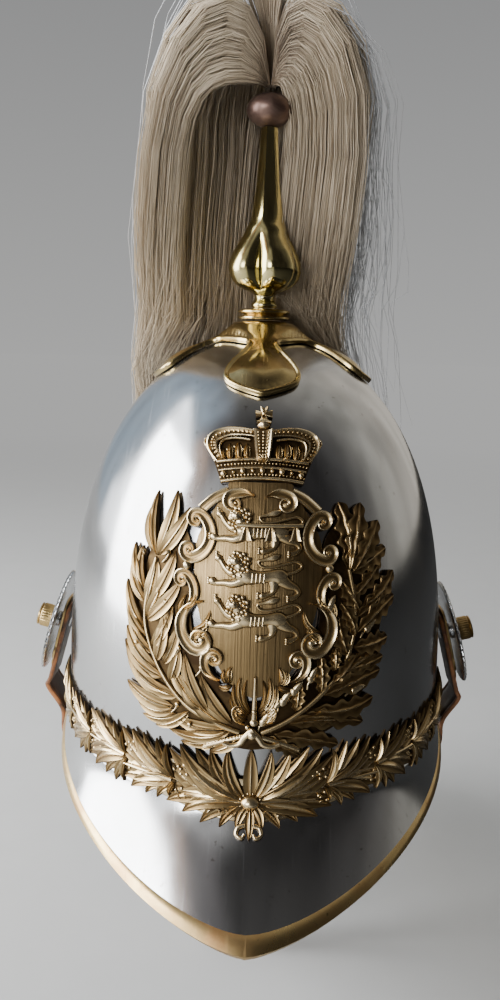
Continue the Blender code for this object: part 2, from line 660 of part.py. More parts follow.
def make_crown():
    """An arched crown with a jewelled foot, two side arches, a middle arch and a cross on top."""
    foot, wide, tall = CROWN_FOOT_HALF_WIDTH, CROWN_HALF_WIDTH, CROWN_HEIGHT
    stations = ((foot, 0), (foot * 1.14, 0.26 * tall), (wide, 0.72 * tall), (wide * 0.84, 0.93 * tall),
                (wide * 0.5, tall), (wide * 0.12, 0.9 * tall))
    outline = [(x, CROWN_BOTTOM + y) for x, y in stations]
    plate = flat_plate(outline + [(-x, y) for x, y in reversed(outline)], 0, BADGE_METAL, 12 * MM)
    relief = bmesh.new()
    metal = BADGE_METAL

    def bar(start, end, half_width, rise, foot_share=0.4):
        add_blade(relief, (start[0], CROWN_BOTTOM + start[1]), (end[0], CROWN_BOTTOM + end[1]), half_width,
                  metal * foot_share, metal + 0.5 * MM, metal + CROWN_RISE * rise, blunt=0.5)

    bar((-foot * 1.02, 0.13 * tall), (foot * 1.02, 0.13 * tall), 0.13 * tall, 0.8, 0.3)
    for side in (-1, 1):
        bar((side * foot * 0.98, 0.28 * tall), (side * wide * 0.93, 0.74 * tall), 1.7 * MM, 0.75, 0.42)
        bar((side * wide * 0.95, 0.70 * tall), (side * wide * 0.55, 0.96 * tall), 1.7 * MM, 0.8, 0.5)
        bar((side * wide * 0.62, 0.97 * tall), (0, 0.84 * tall), 1.7 * MM, 0.9, 0.36)
    bar((0, 0.26 * tall), (0, 0.95 * tall), 2.6 * MM, 1.0, 0.55)
    high = 0.9 * tall
    bar((0, high), (0, high + 0.45 * CROWN_CROSS_HEIGHT), 3.0 * MM, 1.0, 0.25)
    bar((0, high + 0.3 * CROWN_CROSS_HEIGHT), (0, high + CROWN_CROSS_HEIGHT), 1.4 * MM, 0.7, 0.34)
    bar((-3.4 * MM, high + 0.72 * CROWN_CROSS_HEIGHT), (3.4 * MM, high + 0.72 * CROWN_CROSS_HEIGHT), 1.5 * MM, 0.6, 0.28)
    add_object("crown", lay(combined(plate, relief, "UNION"), on_front), GILT)


# The plume base, the spike and the ball

LOBE_SECTIONS = (  # reach share, half-width share, dome share
    (0.10, 0.45, 0.0),
    (0.30, 0.42, 0.3),
    (0.46, 0.40, 0.6),
    (0.60, 0.64, 0.8),
    (0.72, 0.95, 1.0),
    (0.84, 0.94, 0.9),
    (1.00, 0.06, 0.0),
)


def add_lobe(bm, reach, direction):
    """One spade-shaped lobe with a raised bead round it and a domed face."""
    sections = []
    for along, wide, dome in LOBE_SECTIONS:
        half = LOBE_HALF_WIDTH * wide
        bead = min(LOBE_BEAD * 2.4, half * 0.4)
        across = ((-half, 0), (-half, BASE_METAL + LOBE_BEAD), (-half + bead, BASE_METAL),
                  (0, BASE_METAL + LOBE_DOME * dome), (half - bead, BASE_METAL), (half, BASE_METAL + LOBE_BEAD),
                  (half, 0), (half * 0.4, 0), (-half * 0.4, 0))
        out = Vector((math.sin(direction), math.cos(direction)))
        side = Vector((out.y, -out.x))
        sections.append([(*(out * reach * along + side * x), y + 0.001 * MM) for x, y in across])
    loft(bm, sections)


def make_plume_base():
    lobes = bmesh.new()
    for quarter in range(4):
        reach = LOBE_REACH_FRONT if quarter % 2 == 0 else LOBE_REACH_SIDE
        add_lobe(lobes, reach, quarter * math.pi / 2)
    profile = [(0, 0), (CONE_FOOT_RADIUS * 0.6, 0), (CONE_FOOT_RADIUS, 0)]
    for step in range(5):
        share = step / 4
        radius = CONE_FOOT_RADIUS + (CONE_TOP_RADIUS - CONE_FOOT_RADIUS) * share
        profile.append((radius, BASE_METAL * 0.8 + (CONE_RISE - BASE_METAL * 0.8) * share ** 1.9))
    profile += [(CONE_TOP_RADIUS * 0.98, CONE_RISE * 1.02), (0, CONE_RISE * 1.02)]
    cone = turned(profile, 20, Matrix.Identity(4))
    add_object("plume_base", lay(combined(cone, lobes, "UNION"), on_top), BRASS)


BASE_TOP = SKULL_HEIGHT + LAID_GAP + CONE_RISE * 1.02
COLLAR_FOOT = BASE_TOP + GAP
COLLAR_TOP = COLLAR_FOOT + COLLAR_HEIGHT
SPIKE_FOOT = COLLAR_TOP + GAP
BALL_FOOT = SPIKE_FOOT + SPIKE_HEIGHT + GAP
BALL_TOP = BALL_FOOT + BALL_HEIGHT
PLUME_FOOT = BALL_TOP + GAP

SPIKE_SECTIONS = (  # height share, radius share, depth of the four flutes
    (0.000, 0.30, 0.00),
    (0.045, 0.25, 0.00),
    (0.080, 0.34, 0.06),
    (0.105, 0.62, 0.20),
    (0.150, 0.88, 0.30),
    (0.220, 1.00, 0.32),
    (0.300, 0.93, 0.30),
    (0.370, 0.72, 0.26),
    (0.450, 0.50, 0.22),
    (0.550, 0.37, 0.20),
    (0.700, 0.29, 0.20),
    (0.850, 0.24, 0.20),
    (1.000, 0.21, 0.18),
)


def make_spike():
    sides = 16
    sections = []
    for up, wide, flute in SPIKE_SECTIONS:
        loop = []
        for step in range(sides):
            turn = math.tau * step / sides
            depth = flute * (1 - abs(math.sin(2 * turn))) ** 1.4
            radius = SPIKE_RADIUS * wide * (1 - depth)
            loop.append((radius * math.sin(turn), -radius * math.cos(turn), SPIKE_FOOT + SPIKE_HEIGHT * up))
        sections.append(loop)
    add_object("plume_spike", loft(bmesh.new(), sections), BRASS)


def make_collar():
    round_edge = COLLAR_HEIGHT * 0.3
    profile = [(0, 0), (COLLAR_RADIUS - round_edge, 0), (COLLAR_RADIUS, round_edge),
               (COLLAR_RADIUS, COLLAR_HEIGHT - round_edge), (COLLAR_RADIUS - round_edge, COLLAR_HEIGHT),
               (0, COLLAR_HEIGHT)]
    add_object("spike_collar", turned(profile, 20, Matrix.Translation((0, 0, COLLAR_FOOT))), BRASS)


def make_ball():
    profile = []
    flat = 0.30  # the share of the ball's radius that is flat where the spike and the plume meet it
    first = math.asin(flat)
    for step in range(7):
        turn = first + (math.pi - 2 * first) * step / 6
        profile.append((BALL_RADIUS * math.sin(turn), BALL_HEIGHT / 2 * (1 - math.cos(turn) / math.cos(first))))
    profile = [(0, 0)] + profile + [(0, BALL_HEIGHT)]
    add_object("plume_ball", turned(profile, 18, Matrix.Translation((0, 0, BALL_FOOT))), BRONZE)


# The plume

def hair_reach(turn, height):
    """How far out the middle of the hair lies over the dome at a height, in a direction turned from the front."""
    off = PLUME_THICKNESS / 2 + PLUME_SKULL_CLEARANCE
    radius = 1 / math.hypot(math.sin(turn) / (SKULL_HALF_WIDTH + off), math.cos(turn) / (SKULL_HALF_LENGTH + off))
    return radius * dome_share(height * SKULL_HEIGHT / (SKULL_HEIGHT + off))


LOCK_PATH = (  # reach share, height share of the rise, how far the lock has swung to the back
    (0.06, 0.06, 0.00),
    (0.16, 0.58, 0.03),
    (0.34, 0.93, 0.12),
    (0.56, 0.90, 0.28),
    (0.77, 0.58, 0.50),
    (0.90, 0.12, 0.75),
    (0.98, -0.60, 1.00),
)
FALL_SHARES = (0.16, 0.32, 0.40, 0.47, 0.56, 0.70, 0.86, 1.0)


def lock_points(turn):
    """The line of one lock: over the arch, then straight down, then over the back of the skull."""
    away = math.pi - turn
    fall, end = math.pi - away * LOCK_FALL_SHARE, math.pi - away * LOCK_END_SHARE
    reach = math.hypot(PLUME_REACH_SIDE * math.sin(fall), PLUME_REACH_BACK * math.cos(fall))
    points = []
    for out, up, swing in LOCK_PATH:
        way = turn + (fall - turn) * swing
        points.append((way, reach * out, PLUME_FOOT + 3 * MM + PLUME_RISE * up))
    top = points[-1][2]
    for share in FALL_SHARES:
        height = top + (PLUME_END - top) * share
        way = fall + (end - fall) * share
        points.append((way, max(reach, hair_reach(way, height)), height))
    return [Vector((out * math.sin(way), -out * math.cos(way), height)) for way, out, height in points]


def make_plume():
    """A curtain of hair round the sides and the back: thick along each lock and thin between two of them."""
    stations = 2 * LOCK_COUNT
    first = math.radians(LOCK_FIRST_ANGLE)
    lines = []
    for station in range(stations + 1):
        turn = first + (math.tau - 2 * first) * station / stations
        mirrored = turn > math.pi
        points = lock_points(math.tau - turn if mirrored else turn)
        lines.append([Vector((-p.x if mirrored else p.x, p.y, p.z)) for p in points])
    last = len(lines[0]) - 1
    sections = []
    for level in range(last + 1):
        outer, inner = [], []
        grow = min(1.0, 0.3 + 0.25 * level)
        for station, line in enumerate(lines):
            point = line[level].copy()
            along = (line[min(level + 1, last)] - line[max(level - 1, 0)]).normalized()
            beside = lines[min(station + 1, stations)][level] - lines[max(station - 1, 0)][level]
            normal = along.cross(beside).normalized()
            ridge = station % 2 == 1
            half = PLUME_THICKNESS / 2 * grow * (0.5 if level == last else 1)
            if level == last and not ridge:
                point.z += LOCK_TIP
            thick = half * (1 if ridge else LOCK_VALLEY_SHARE)
            outer.append(point + normal * thick)
            inner.append(point - normal * thick * 0.8)
        sections.append(outer + list(reversed(inner)))
    curtain = loft(bmesh.new(), sections, folded=True)
    bmesh.ops.triangulate(curtain, faces=curtain.faces)
    profile = [(0, 0), (PLUME_HEAD_RADIUS, 0), (PLUME_HEAD_RADIUS * 1.1, PLUME_HEAD_RADIUS * 0.6),
               (PLUME_HEAD_RADIUS * 0.8, PLUME_HEAD_RADIUS * 1.3), (0, PLUME_HEAD_RADIUS * 1.6)]
    head = turned(profile, 14, Matrix.Translation((0, 0, PLUME_FOOT)))
    whole = combined(head, curtain, "UNION")
    bmesh.ops.triangulate(whole, faces=whole.faces)
    add_object("plume", whole, HAIR)


# Rosettes, bosses and the chin strap

def ear_frame(side):
    """Rosette space: +Z out of the rosette's face, +Y down its face, with the origin in its plane."""
    tilt = math.radians(ROSETTE_TILT)
    out = Vector((side * math.cos(tilt), 0, math.sin(tilt)))
    down = Vector((side * math.sin(tilt), 0, -math.cos(tilt)))
    across = down.cross(out)
    centre = Vector((side * (skull_point(math.pi / 2, ROSETTE_HEIGHT).x + ROSETTE_STANDOFF), 0, ROSETTE_HEIGHT))
    return Matrix.Translation(centre) @ Matrix((across, down, out)).transposed().to_4x4()


def make_rosette(side, label):
    """A dished disc with a cut edge, on a post that stands on the skull."""
    bm = bmesh.new()
    points = 2 * ROSETTE_TEETH

    def ring(radius, height, tooth=0.0):
        return [((radius - (tooth if step % 2 else 0)) * math.cos(math.tau * step / points),
                 (radius - (tooth if step % 2 else 0)) * math.sin(math.tau * step / points), height)
                for step in range(points)]

    dish, metal = ROSETTE_DISH, ROSETTE_METAL
    slope = math.cos(math.radians(ROSETTE_TILT))
    depth = (ROSETTE_STANDOFF - GAP) / slope - dish - metal
    rings = [ring(ROSETTE_RADIUS, 0, ROSETTE_TOOTH), ring(BOSS_RADIUS, dish),
             ring(BOSS_RADIUS, dish - metal), ring(ROSETTE_RADIUS, -metal, ROSETTE_TOOTH)]
    loft(bm, rings, closed=True)
    disc = bm
    post = turned([(0, dish - 2 * GAP), (BOSS_RADIUS * 1.1, dish - 2 * GAP),
                   (BOSS_RADIUS * 1.1, dish - metal * 0.9), (POST_RADIUS, dish - metal * 1.1 - 1 * MM),
                   (POST_RADIUS, -depth), (0, -depth)], 12, Matrix.Identity(4))
    whole = combined(disc, post, "UNION")
    bmesh.ops.transform(whole, matrix=ear_frame(side), verts=whole.verts)
    bmesh.ops.recalc_face_normals(whole, faces=whole.faces)
    add_object("rosette_" + label, whole, NICKEL)


def make_boss(side, label):
    foot = ROSETTE_DISH + GAP
    rounding = BOSS_HEIGHT * 0.12
    profile = [(0, foot), (BOSS_RADIUS - 1 * MM, foot), (BOSS_RADIUS, foot + rounding),
               (BOSS_RADIUS, foot + BOSS_HEIGHT - rounding), (BOSS_RADIUS - rounding, foot + BOSS_HEIGHT),
               (0, foot + BOSS_HEIGHT)]
    add_object("boss_" + label, turned(profile, 16, ear_frame(side)), BRASS)


def make_strap_plate(side, label):
    """The brass end of the strap: a tongue behind the rosette, held on the post."""
    level = ROSETTE_DISH - ROSETTE_METAL - 2 * GAP - 3.2 * MM
    half, up, down = STRAP_PLATE_HALF_WIDTH, STRAP_PLATE_UP, STRAP_PLATE_DOWN
    outline = [(half * 0.5, -up), (half, -up * 0.6), (half * 0.9, down * 0.45), (half * 0.5, down * 0.8), (0, down)]
    outline = outline + [(-x, y) for x, y in reversed(outline[:-1])]
    plate = flat_plate(outline, level - STRAP_PLATE_METAL, level)
    bore = POST_RADIUS + HOLE_CLEARANCE
    drill = turned([(0, level - 4 * MM), (bore, level - 4 * MM), (bore, level + 3 * MM), (0, level + 3 * MM)],
                   12, Matrix.Identity(4))
    whole = combined(plate, drill, "DIFFERENCE")
    bmesh.ops.transform(whole, matrix=ear_frame(side), verts=whole.verts)
    bmesh.ops.recalc_face_normals(whole, faces=whole.faces)
    add_object("strap_plate_" + label, whole, BRASS)


def strap_line():
    """The strap's middle on the +X side, from its end behind the rosette to the chin."""
    level = ROSETTE_DISH - ROSETTE_METAL - 3 * GAP - 3.2 * MM - STRAP_PLATE_METAL - STRAP_THICKNESS / 2
    frame = ear_frame(1)
    straight = STRAP_PLATE_DOWN + 2 * MM
    points = [frame @ Vector((0, down, level)) for down in (-12 * MM, straight / 3, straight, straight + 5 * MM)]
    edge = rim_point(math.pi / 2).x + EDGING_METAL + EDGING_SLACK
    past = edge + STRAP_RIM_CLEARANCE + STRAP_THICKNESS / 2
    chin = (  # half-width share, depth share, forward share
        (1.00, 0.09, 0.02), (0.985, 0.20, 0.10), (0.90, 0.42, 0.34), (0.72, 0.68, 0.66),
        (0.45, 0.90, 0.90), (0.15, 0.99, 1.00),
    )
    points += [Vector((past * x, -STRAP_FORWARD * y, -STRAP_DEPTH * z)) for x, z, y in chin]
    return points


def smooth_line(points, steps):
    """Points along a smooth curve through the given ones."""
    line = []
    last = len(points) - 1
    for i in range(last):
        before, a, b, after = (points[max(i - 1, 0)], points[i], points[i + 1], points[min(i + 2, last)])
        for step in range(steps):
            t = step / steps
            line.append(0.5 * (2 * a + (b - before) * t + (2 * before - 5 * a + 4 * b - after) * t ** 2
                               + (3 * a - before - 3 * b + after) * t ** 3))
    return line + [points[-1]]


def make_chin_strap():
    right = strap_line()
    left = [Vector((-p.x, p.y, p.z)) for p in reversed(right)]
    line = smooth_line(right + left, 2)
    sections = []
    last = len(line) - 1
    for i, point in enumerate(line):
        along = (line[min(i + 1, last)] - line[max(i - 1, 0)]).normalized()
        across = Vector((0, 1, 0))
        across = (across - along * across.dot(along)).normalized()
        normal = along.cross(across)
        down = min(max(-point.z / STRAP_DEPTH, 0), 1)
        half = (STRAP_WIDTH_EAR + (STRAP_WIDTH_CHIN - STRAP_WIDTH_EAR) * down) / 2
        if i in (0, last):
            half *= 0.7
        thick = STRAP_THICKNESS / 2
        sections.append([point + across * x * half + normal * y * thick
                         for x, y in ((-1, -1), (1, -1), (1, 1), (-1, 1))])
    strap = loft(bmesh.new(), sections)
    drills = bmesh.new()
    for side in (-1, 1):
        bore = POST_RADIUS + HOLE_CLEARANCE
        drill = turned([(0, -12 * MM), (bore, -12 * MM), (bore, 1 * MM), (0, 1 * MM)], 12, ear_frame(side))
        mesh = bpy.data.meshes.new("drill")
        drill.to_mesh(mesh)
        drills.from_mesh(mesh)
        bpy.data.meshes.remove(mesh)
    add_object("chin_strap", combined(strap, drills, "DIFFERENCE"), LEATHER)


clear_scene()
make_skull()
make_flare("front_peak", 0)
make_flare("neck_guard", math.pi)
make_edging("front_edging", 0)
make_edging("rear_edging", math.pi)
make_front_band()
make_rear_band()
make_wreath()
make_shield()
make_crown()
make_plume_base()
make_collar()
make_spike()
make_ball()
make_plume()
for ear_side, ear_label in ((-1, "left"), (1, "right")):
    make_rosette(ear_side, ear_label)
    make_boss(ear_side, ear_label)
    make_strap_plate(ear_side, ear_label)
make_chin_strap()
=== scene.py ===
import math

import bmesh
import bpy
import numpy as np
from mathutils import Matrix, Vector


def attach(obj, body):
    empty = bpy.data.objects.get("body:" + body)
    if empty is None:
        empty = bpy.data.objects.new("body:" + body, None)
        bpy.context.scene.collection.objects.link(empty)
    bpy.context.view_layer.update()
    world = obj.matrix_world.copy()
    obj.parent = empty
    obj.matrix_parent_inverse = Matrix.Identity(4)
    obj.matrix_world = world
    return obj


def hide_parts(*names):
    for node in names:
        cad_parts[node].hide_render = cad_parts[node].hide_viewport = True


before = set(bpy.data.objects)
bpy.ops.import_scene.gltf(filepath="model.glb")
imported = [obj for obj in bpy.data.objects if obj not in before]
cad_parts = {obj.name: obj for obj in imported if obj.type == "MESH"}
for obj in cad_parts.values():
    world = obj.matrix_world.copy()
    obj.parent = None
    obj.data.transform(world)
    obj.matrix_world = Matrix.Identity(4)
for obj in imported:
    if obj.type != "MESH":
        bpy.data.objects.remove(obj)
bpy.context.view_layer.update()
MM = 0.001

# Skull
# The skull is one dome of nickel silver a millimetre thick, oval in plan, raised over a stake and polished
# to a mirror. Its finish carries fine scratches, a few creases and the slight waves that the hammer left.

SKULL_HALF_WIDTH = 96 * MM
SKULL_HALF_LENGTH = 114 * MM
SKULL_HEIGHT = 187 * MM
SKULL_WALL = 1.0 * MM
DOME_RISE_POWER = 2.8
DOME_CLOSE_POWER = 2.1
SKULL_SIDES = 128
SKULL_RINGS = 40
NICKEL_COLOUR = (0.66, 0.67, 0.68, 1)
NICKEL_TARNISH = (0.50, 0.47, 0.43, 1)


def node(tree, kind, inputs=(), **settings):
    """Adds a shader node; an input is given another node's socket or a plain value."""
    made = tree.nodes.new(kind)
    for name, value in settings.items():
        setattr(made, name, value)
    for name, value in dict(inputs).items():
        if isinstance(value, bpy.types.NodeSocket):
            tree.links.new(value, made.inputs[name])
        else:
            made.inputs[name].default_value = value
    return made


def mixed(tree, share, first, second, way="MIX"):
    """The colour between two others, or one colour laid on another."""
    made = node(tree, "ShaderNodeMix", {0: share, 6: first, 7: second}, data_type="RGBA", blend_type=way)
    return made.outputs[2]


def spread(tree, value, low, high, to_low=0.0, to_high=1.0):
    """Stretches a range of a value over another range, and stops at its ends."""
    return node(tree, "ShaderNodeMapRange", {"Value": value, "From Min": low, "From Max": high,
                                             "To Min": to_low, "To Max": to_high}).outputs[0]


def ramped(tree, value, stops):
    """The colour at a value from 0 to 1 between the given (place, colour) stops."""
    made = node(tree, "ShaderNodeValToRGB", {0: value})
    marks = made.color_ramp.elements
    marks[0].color, marks[1].color = (*stops[0][1], 1), (*stops[-1][1], 1)
    for place, colour in stops[1:-1]:
        marks.new(place).color = (*colour, 1)
    return made.outputs[0]


def sums(tree, way, first, second):
    return node(tree, "ShaderNodeMath", {0: first, 1: second}, operation=way).outputs[0]


def new_group(name, inputs, outputs):
    """A shader node group with number inputs (name: default) and number or colour outputs (name: kind)."""
    group = bpy.data.node_groups.new(name, "ShaderNodeTree")
    for label, default in inputs.items():
        socket = group.interface.new_socket(label, in_out="INPUT", socket_type="NodeSocketFloat")
        socket.default_value = default
    for label, kind in outputs.items():
        group.interface.new_socket(label, in_out="OUTPUT", socket_type=kind)
    return group, group.nodes.new("NodeGroupInput"), group.nodes.new("NodeGroupOutput")


def placed(tree, group, **inputs):
    """Puts a group into a material with its own values."""
    made = tree.nodes.new("ShaderNodeGroup")
    made.node_tree = group
    for name, value in inputs.items():
        made.inputs[name].default_value = value
    return made


def hairline_scratches():
    """Group: thin straight scratches in three directions, each only a few centimetres long."""
    tree, given, result = new_group("hairline_scratches", {"Scale": 1.0, "Amount": 0.5},
                                    {"Lines": "NodeSocketFloat"})
    place = node(tree, "ShaderNodeTexCoord").outputs["Object"]
    total = None
    for turn, fine in ((0.35, 900), (1.25, 700), (2.4, 1100)):
        along = node(tree, "ShaderNodeMapping", {"Vector": place, "Rotation": (turn, 0.4 * turn, turn),
                                                 "Scale": (fine, 22, 30)})
        streaks = node(tree, "ShaderNodeTexNoise", {
            "Vector": along.outputs[0], "Scale": given.outputs["Scale"], "Detail": 2.0, "Distortion": 0.15})
        thin = spread(tree, streaks.outputs["Fac"], 0.66, 0.74)
        total = thin if total is None else sums(tree, "MAXIMUM", total, thin)
    tree.links.new(sums(tree, "MULTIPLY", total, given.outputs["Amount"]), result.inputs["Lines"])
    return tree


def tarnish_patches():
    """Group: soft clouds of tarnish and small dark specks."""
    tree, given, result = new_group("tarnish_patches", {"Scale": 20.0, "Speck Scale": 260.0},
                                    {"Clouds": "NodeSocketFloat", "Specks": "NodeSocketFloat"})
    place = node(tree, "ShaderNodeTexCoord").outputs["Object"]
    clouds = node(tree, "ShaderNodeTexNoise", {
        "Vector": place, "Scale": given.outputs["Scale"], "Detail": 6.0, "Roughness": 0.62,
        "Distortion": 0.6})
    tree.links.new(spread(tree, clouds.outputs["Fac"], 0.40, 0.68), result.inputs["Clouds"])
    specks = node(tree, "ShaderNodeTexNoise", {"Vector": place, "Scale": given.outputs["Speck Scale"],
                                               "Detail": 3.0, "Roughness": 0.7})
    tree.links.new(spread(tree, specks.outputs["Fac"], 0.66, 0.73), result.inputs["Specks"])
    return tree


SCRATCHES = hairline_scratches()
TARNISH = tarnish_patches()


def new_material(name, metallic, **sockets):
    made = bpy.data.materials.new(name)
    made.use_nodes = True
    shader = made.node_tree.nodes["Principled BSDF"]
    shader.inputs["Metallic"].default_value = metallic
    for label, value in sockets.items():
        shader.inputs[label.replace("_", " ")].default_value = value
    return made, made.node_tree, shader


def lead_in(tree, shader, colour, rough, height, strength, distance):
    """Leads a colour, a roughness and a height for the bump into a shader."""
    bump = node(tree, "ShaderNodeBump", {"Height": height, "Strength": strength, "Distance": distance})
    for label, socket in (("Base Color", colour), ("Roughness", rough), ("Normal", bump.outputs[0])):
        tree.links.new(socket, shader.inputs[label])


def nickel_silver(name="nickel_silver", smooth=0.15, wave=0.35):
    """White metal with a mirror polish: clouds and specks of tarnish, scratches and hammer waves."""
    made, tree, shader = new_material(name, 1.0)
    tarnish = placed(tree, TARNISH, Scale=24.0).outputs
    scratches = placed(tree, SCRATCHES, Amount=0.4).outputs["Lines"]
    dull = sums(tree, "MULTIPLY", tarnish["Clouds"], 0.35)
    colour = mixed(tree, dull, NICKEL_COLOUR, NICKEL_TARNISH)
    colour = mixed(tree, sums(tree, "MULTIPLY", tarnish["Specks"], 0.45), colour, (0.20, 0.16, 0.12, 1))
    rough = sums(tree, "ADD", spread(tree, tarnish["Clouds"], 0, 1, smooth, smooth + 0.06),
                 sums(tree, "MULTIPLY", scratches, 0.16))
    place = node(tree, "ShaderNodeTexCoord").outputs["Object"]
    waves = node(tree, "ShaderNodeTexNoise", {"Vector": place, "Scale": 16.0, "Detail": 1.5})
    height = sums(tree, "ADD", sums(tree, "MULTIPLY", waves.outputs["Fac"], wave),
                  sums(tree, "MULTIPLY", scratches, 0.006))
    lead_in(tree, shader, colour, rough, height, 0.5, 1.2 * MM)
    return made


NICKEL = nickel_silver()


def dome_share(height):
    """How wide the skull is at a height, as a share of its width at the brow."""
    part = np.clip(np.asarray(height, float) / SKULL_HEIGHT, 0, 1)
    return (1 - part ** DOME_RISE_POWER) ** (1 / DOME_CLOSE_POWER)


def skull_point(angle, height):
    """Points on the skull at angles from the front and heights over the brow."""
    angle, height = np.broadcast_arrays(np.asarray(angle, float), np.asarray(height, float))
    share = dome_share(height)
    return np.stack([SKULL_HALF_WIDTH * share * np.sin(angle), -SKULL_HALF_LENGTH * share * np.cos(angle),
                     height], -1)


def make_piece(name, bm, material, sharp=40):
    """A finished bmesh as an object at the origin, smooth where its faces meet at less than the angle."""
    mesh = bpy.data.meshes.new(name)
    bm.to_mesh(mesh)
    bm.free()
    obj = bpy.data.objects.new(name, mesh)
    bpy.context.scene.collection.objects.link(obj)
    mesh.materials.append(material)
    mesh.shade_smooth()
    mesh.set_sharp_from_angle(angle=math.radians(sharp))
    return obj


def thicken(obj, wall):
    modifier = obj.modifiers.new("wall", "SOLIDIFY")
    modifier.thickness = wall
    modifier.offset = -1
    modifier.use_even_offset = True


def spun(profile, sides, tidy=0.001 * MM):
    """A bmesh turned from (radius, height) pairs round the Z axis."""
    bm = bmesh.new()
    verts = [bm.verts.new((radius, 0, height)) for radius, height in profile]
    edges = [bm.edges.new(pair) for pair in zip(verts, verts[1:])]
    bmesh.ops.spin(bm, geom=verts + edges, cent=(0, 0, 0), axis=(0, 0, 1), angle=math.tau, steps=sides,
                   use_merge=True)
    bmesh.ops.remove_doubles(bm, verts=bm.verts, dist=tidy)
    bmesh.ops.recalc_face_normals(bm, faces=bm.faces)
    return bm


rings = SKULL_HEIGHT * np.sin(np.linspace(0, math.pi / 2, SKULL_RINGS + 1)) ** 0.86
bm = spun(list(zip(dome_share(rings), rings)), SKULL_SIDES)
bmesh.ops.scale(bm, vec=(SKULL_HALF_WIDTH, SKULL_HALF_LENGTH, 1), verts=bm.verts)
skull = make_piece("helmet_skull", bm, NICKEL)
thicken(skull, SKULL_WALL)
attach(skull, "root")
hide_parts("skull")

# Peak and neck guard
# Both are cut from the same white metal and flare from the brow line to one rim: a pointed peak in front
# and a deep round guard behind, riveted to the skull under the leaf band.

PEAK_WALL = 1.0 * MM
GAP = 0.3 * MM
RIM_HALF_WIDTH = SKULL_HALF_WIDTH + 6.5 * MM
EAR_DROP = 9 * MM
EAR_TUCK = 0.042
EAR_TUCK_POWER = 16
PEAK_REACH = 43 * MM
PEAK_DROP = 40 * MM
PEAK_SIDE_POWER = 1.379
PEAK_FRONT_POWER = 1.111
PEAK_ROOT_SHARE = 0.3
GUARD_REACH = 50 * MM
GUARD_DROP = 76 * MM
GUARD_PLAN_POWER = 0.909
GUARD_DROP_POWER = 1.2
GUARD_ROOT_SHARE = 0.45
FLARE_STATIONS = 96
FLARE_ROWS = 14
FLARE_SAMPLES = 25  # points on each line down the flare that its length is measured with
RIM_SAMPLES = 801


def rim_point(angle):
    """The metal's edge below each brow point: a pointed arch in front and a deep round one behind."""
    angle = np.asarray(angle, float)
    across, along = np.abs(np.sin(angle)), np.abs(np.cos(angle))
    half_width = np.copysign(RIM_HALF_WIDTH * (1 - EAR_TUCK * across ** EAR_TUCK_POWER), np.sin(angle))
    forward = along ** PEAK_FRONT_POWER
    front = np.stack([half_width * across ** PEAK_SIDE_POWER, -(SKULL_HALF_LENGTH + PEAK_REACH) * forward,
                      -EAR_DROP - (PEAK_DROP - EAR_DROP) * forward], -1)
    back = np.stack([half_width * across ** GUARD_PLAN_POWER,
                     (SKULL_HALF_LENGTH + GUARD_REACH) * along ** GUARD_PLAN_POWER,
                     -EAR_DROP - (GUARD_DROP - EAR_DROP) * along ** GUARD_DROP_POWER], -1)
    return np.where(np.cos(angle)[..., None] > 0, front, back)


def flare_curve(angle, share):
    """Points down the flare at each angle (rows) and share of its curve (columns)."""
    top, rim = skull_point(angle, 0.0)[:, None], rim_point(angle)[:, None]
    root = np.where(np.cos(angle) > 0, PEAK_ROOT_SHARE, GUARD_ROOT_SHARE)[:, None]
    bend = top.copy()
    bend[..., 2] += root * rim[..., 2]
    t = np.asarray(share)[None, :, None]
    return top * (1 - t) ** 2 + bend * 2 * t * (1 - t) + rim * t ** 2


def flare_point(angle, distance):
    """Points at distances down the flare from the brow line, and past its rim in a straight line."""
    angle, distance = np.atleast_1d(angle).astype(float), np.atleast_1d(distance).astype(float)
    line = flare_curve(angle, np.linspace(0, 1, FLARE_SAMPLES))
    steps = np.linalg.norm(np.diff(line, axis=1), axis=2)
    reached = np.concatenate([np.zeros((len(angle), 1)), np.cumsum(steps, axis=1)], axis=1)
    at = np.clip((reached < distance[:, None]).sum(axis=1) - 1, 0, FLARE_SAMPLES - 2)
    rows = np.arange(len(angle))
    part = (distance - reached[rows, at]) / steps[rows, at]
    return line[rows, at] + (line[rows, at + 1] - line[rows, at]) * part[:, None]


def flare_length(angle):
    line = flare_curve(angle, np.linspace(0, 1, FLARE_SAMPLES))
    return np.linalg.norm(np.diff(line, axis=1), axis=2).sum(axis=1)


def side_angles(middle, count):
    """Angles from ear to ear round the front (middle 0) or the back (middle pi), evenly spaced on the rim."""
    reach = math.pi / 2 - GAP / SKULL_HALF_LENGTH
    angles = np.linspace(middle - reach, middle + reach, RIM_SAMPLES)
    steps = np.linalg.norm(np.diff(rim_point(angles), axis=0), axis=1)
    lengths = np.concatenate([[0], np.cumsum(steps)])
    return np.interp(np.linspace(0, lengths[-1], count + 1), lengths, angles)


def shaped_grid(bm, along, around, place):
    """A grid of quads whose corners go where place puts their two shares from 0 to 1."""
    verts = bmesh.ops.create_grid(bm, x_segments=along, y_segments=around, size=0.5)["verts"]
    shares = np.round(np.array([vert.co for vert in verts])[:, :2] + 0.5, 6)
    for vert, point in zip(verts, place(shares[:, 0], shares[:, 1])):
        vert.co = point
    return verts


def add_flare(name, middle):
    """The outer face of a flare, which is given its wall afterwards."""
    angles = side_angles(middle, FLARE_STATIONS)

    def place(across, down):
        angle = np.interp(across, np.linspace(0, 1, len(angles)), angles)
        length = flare_length(angle)
        return flare_point(angle, GAP + (length - GAP) * down)

    bm = bmesh.new()
    shaped_grid(bm, FLARE_STATIONS, FLARE_ROWS, place)
    return make_piece(name, bm, NICKEL)


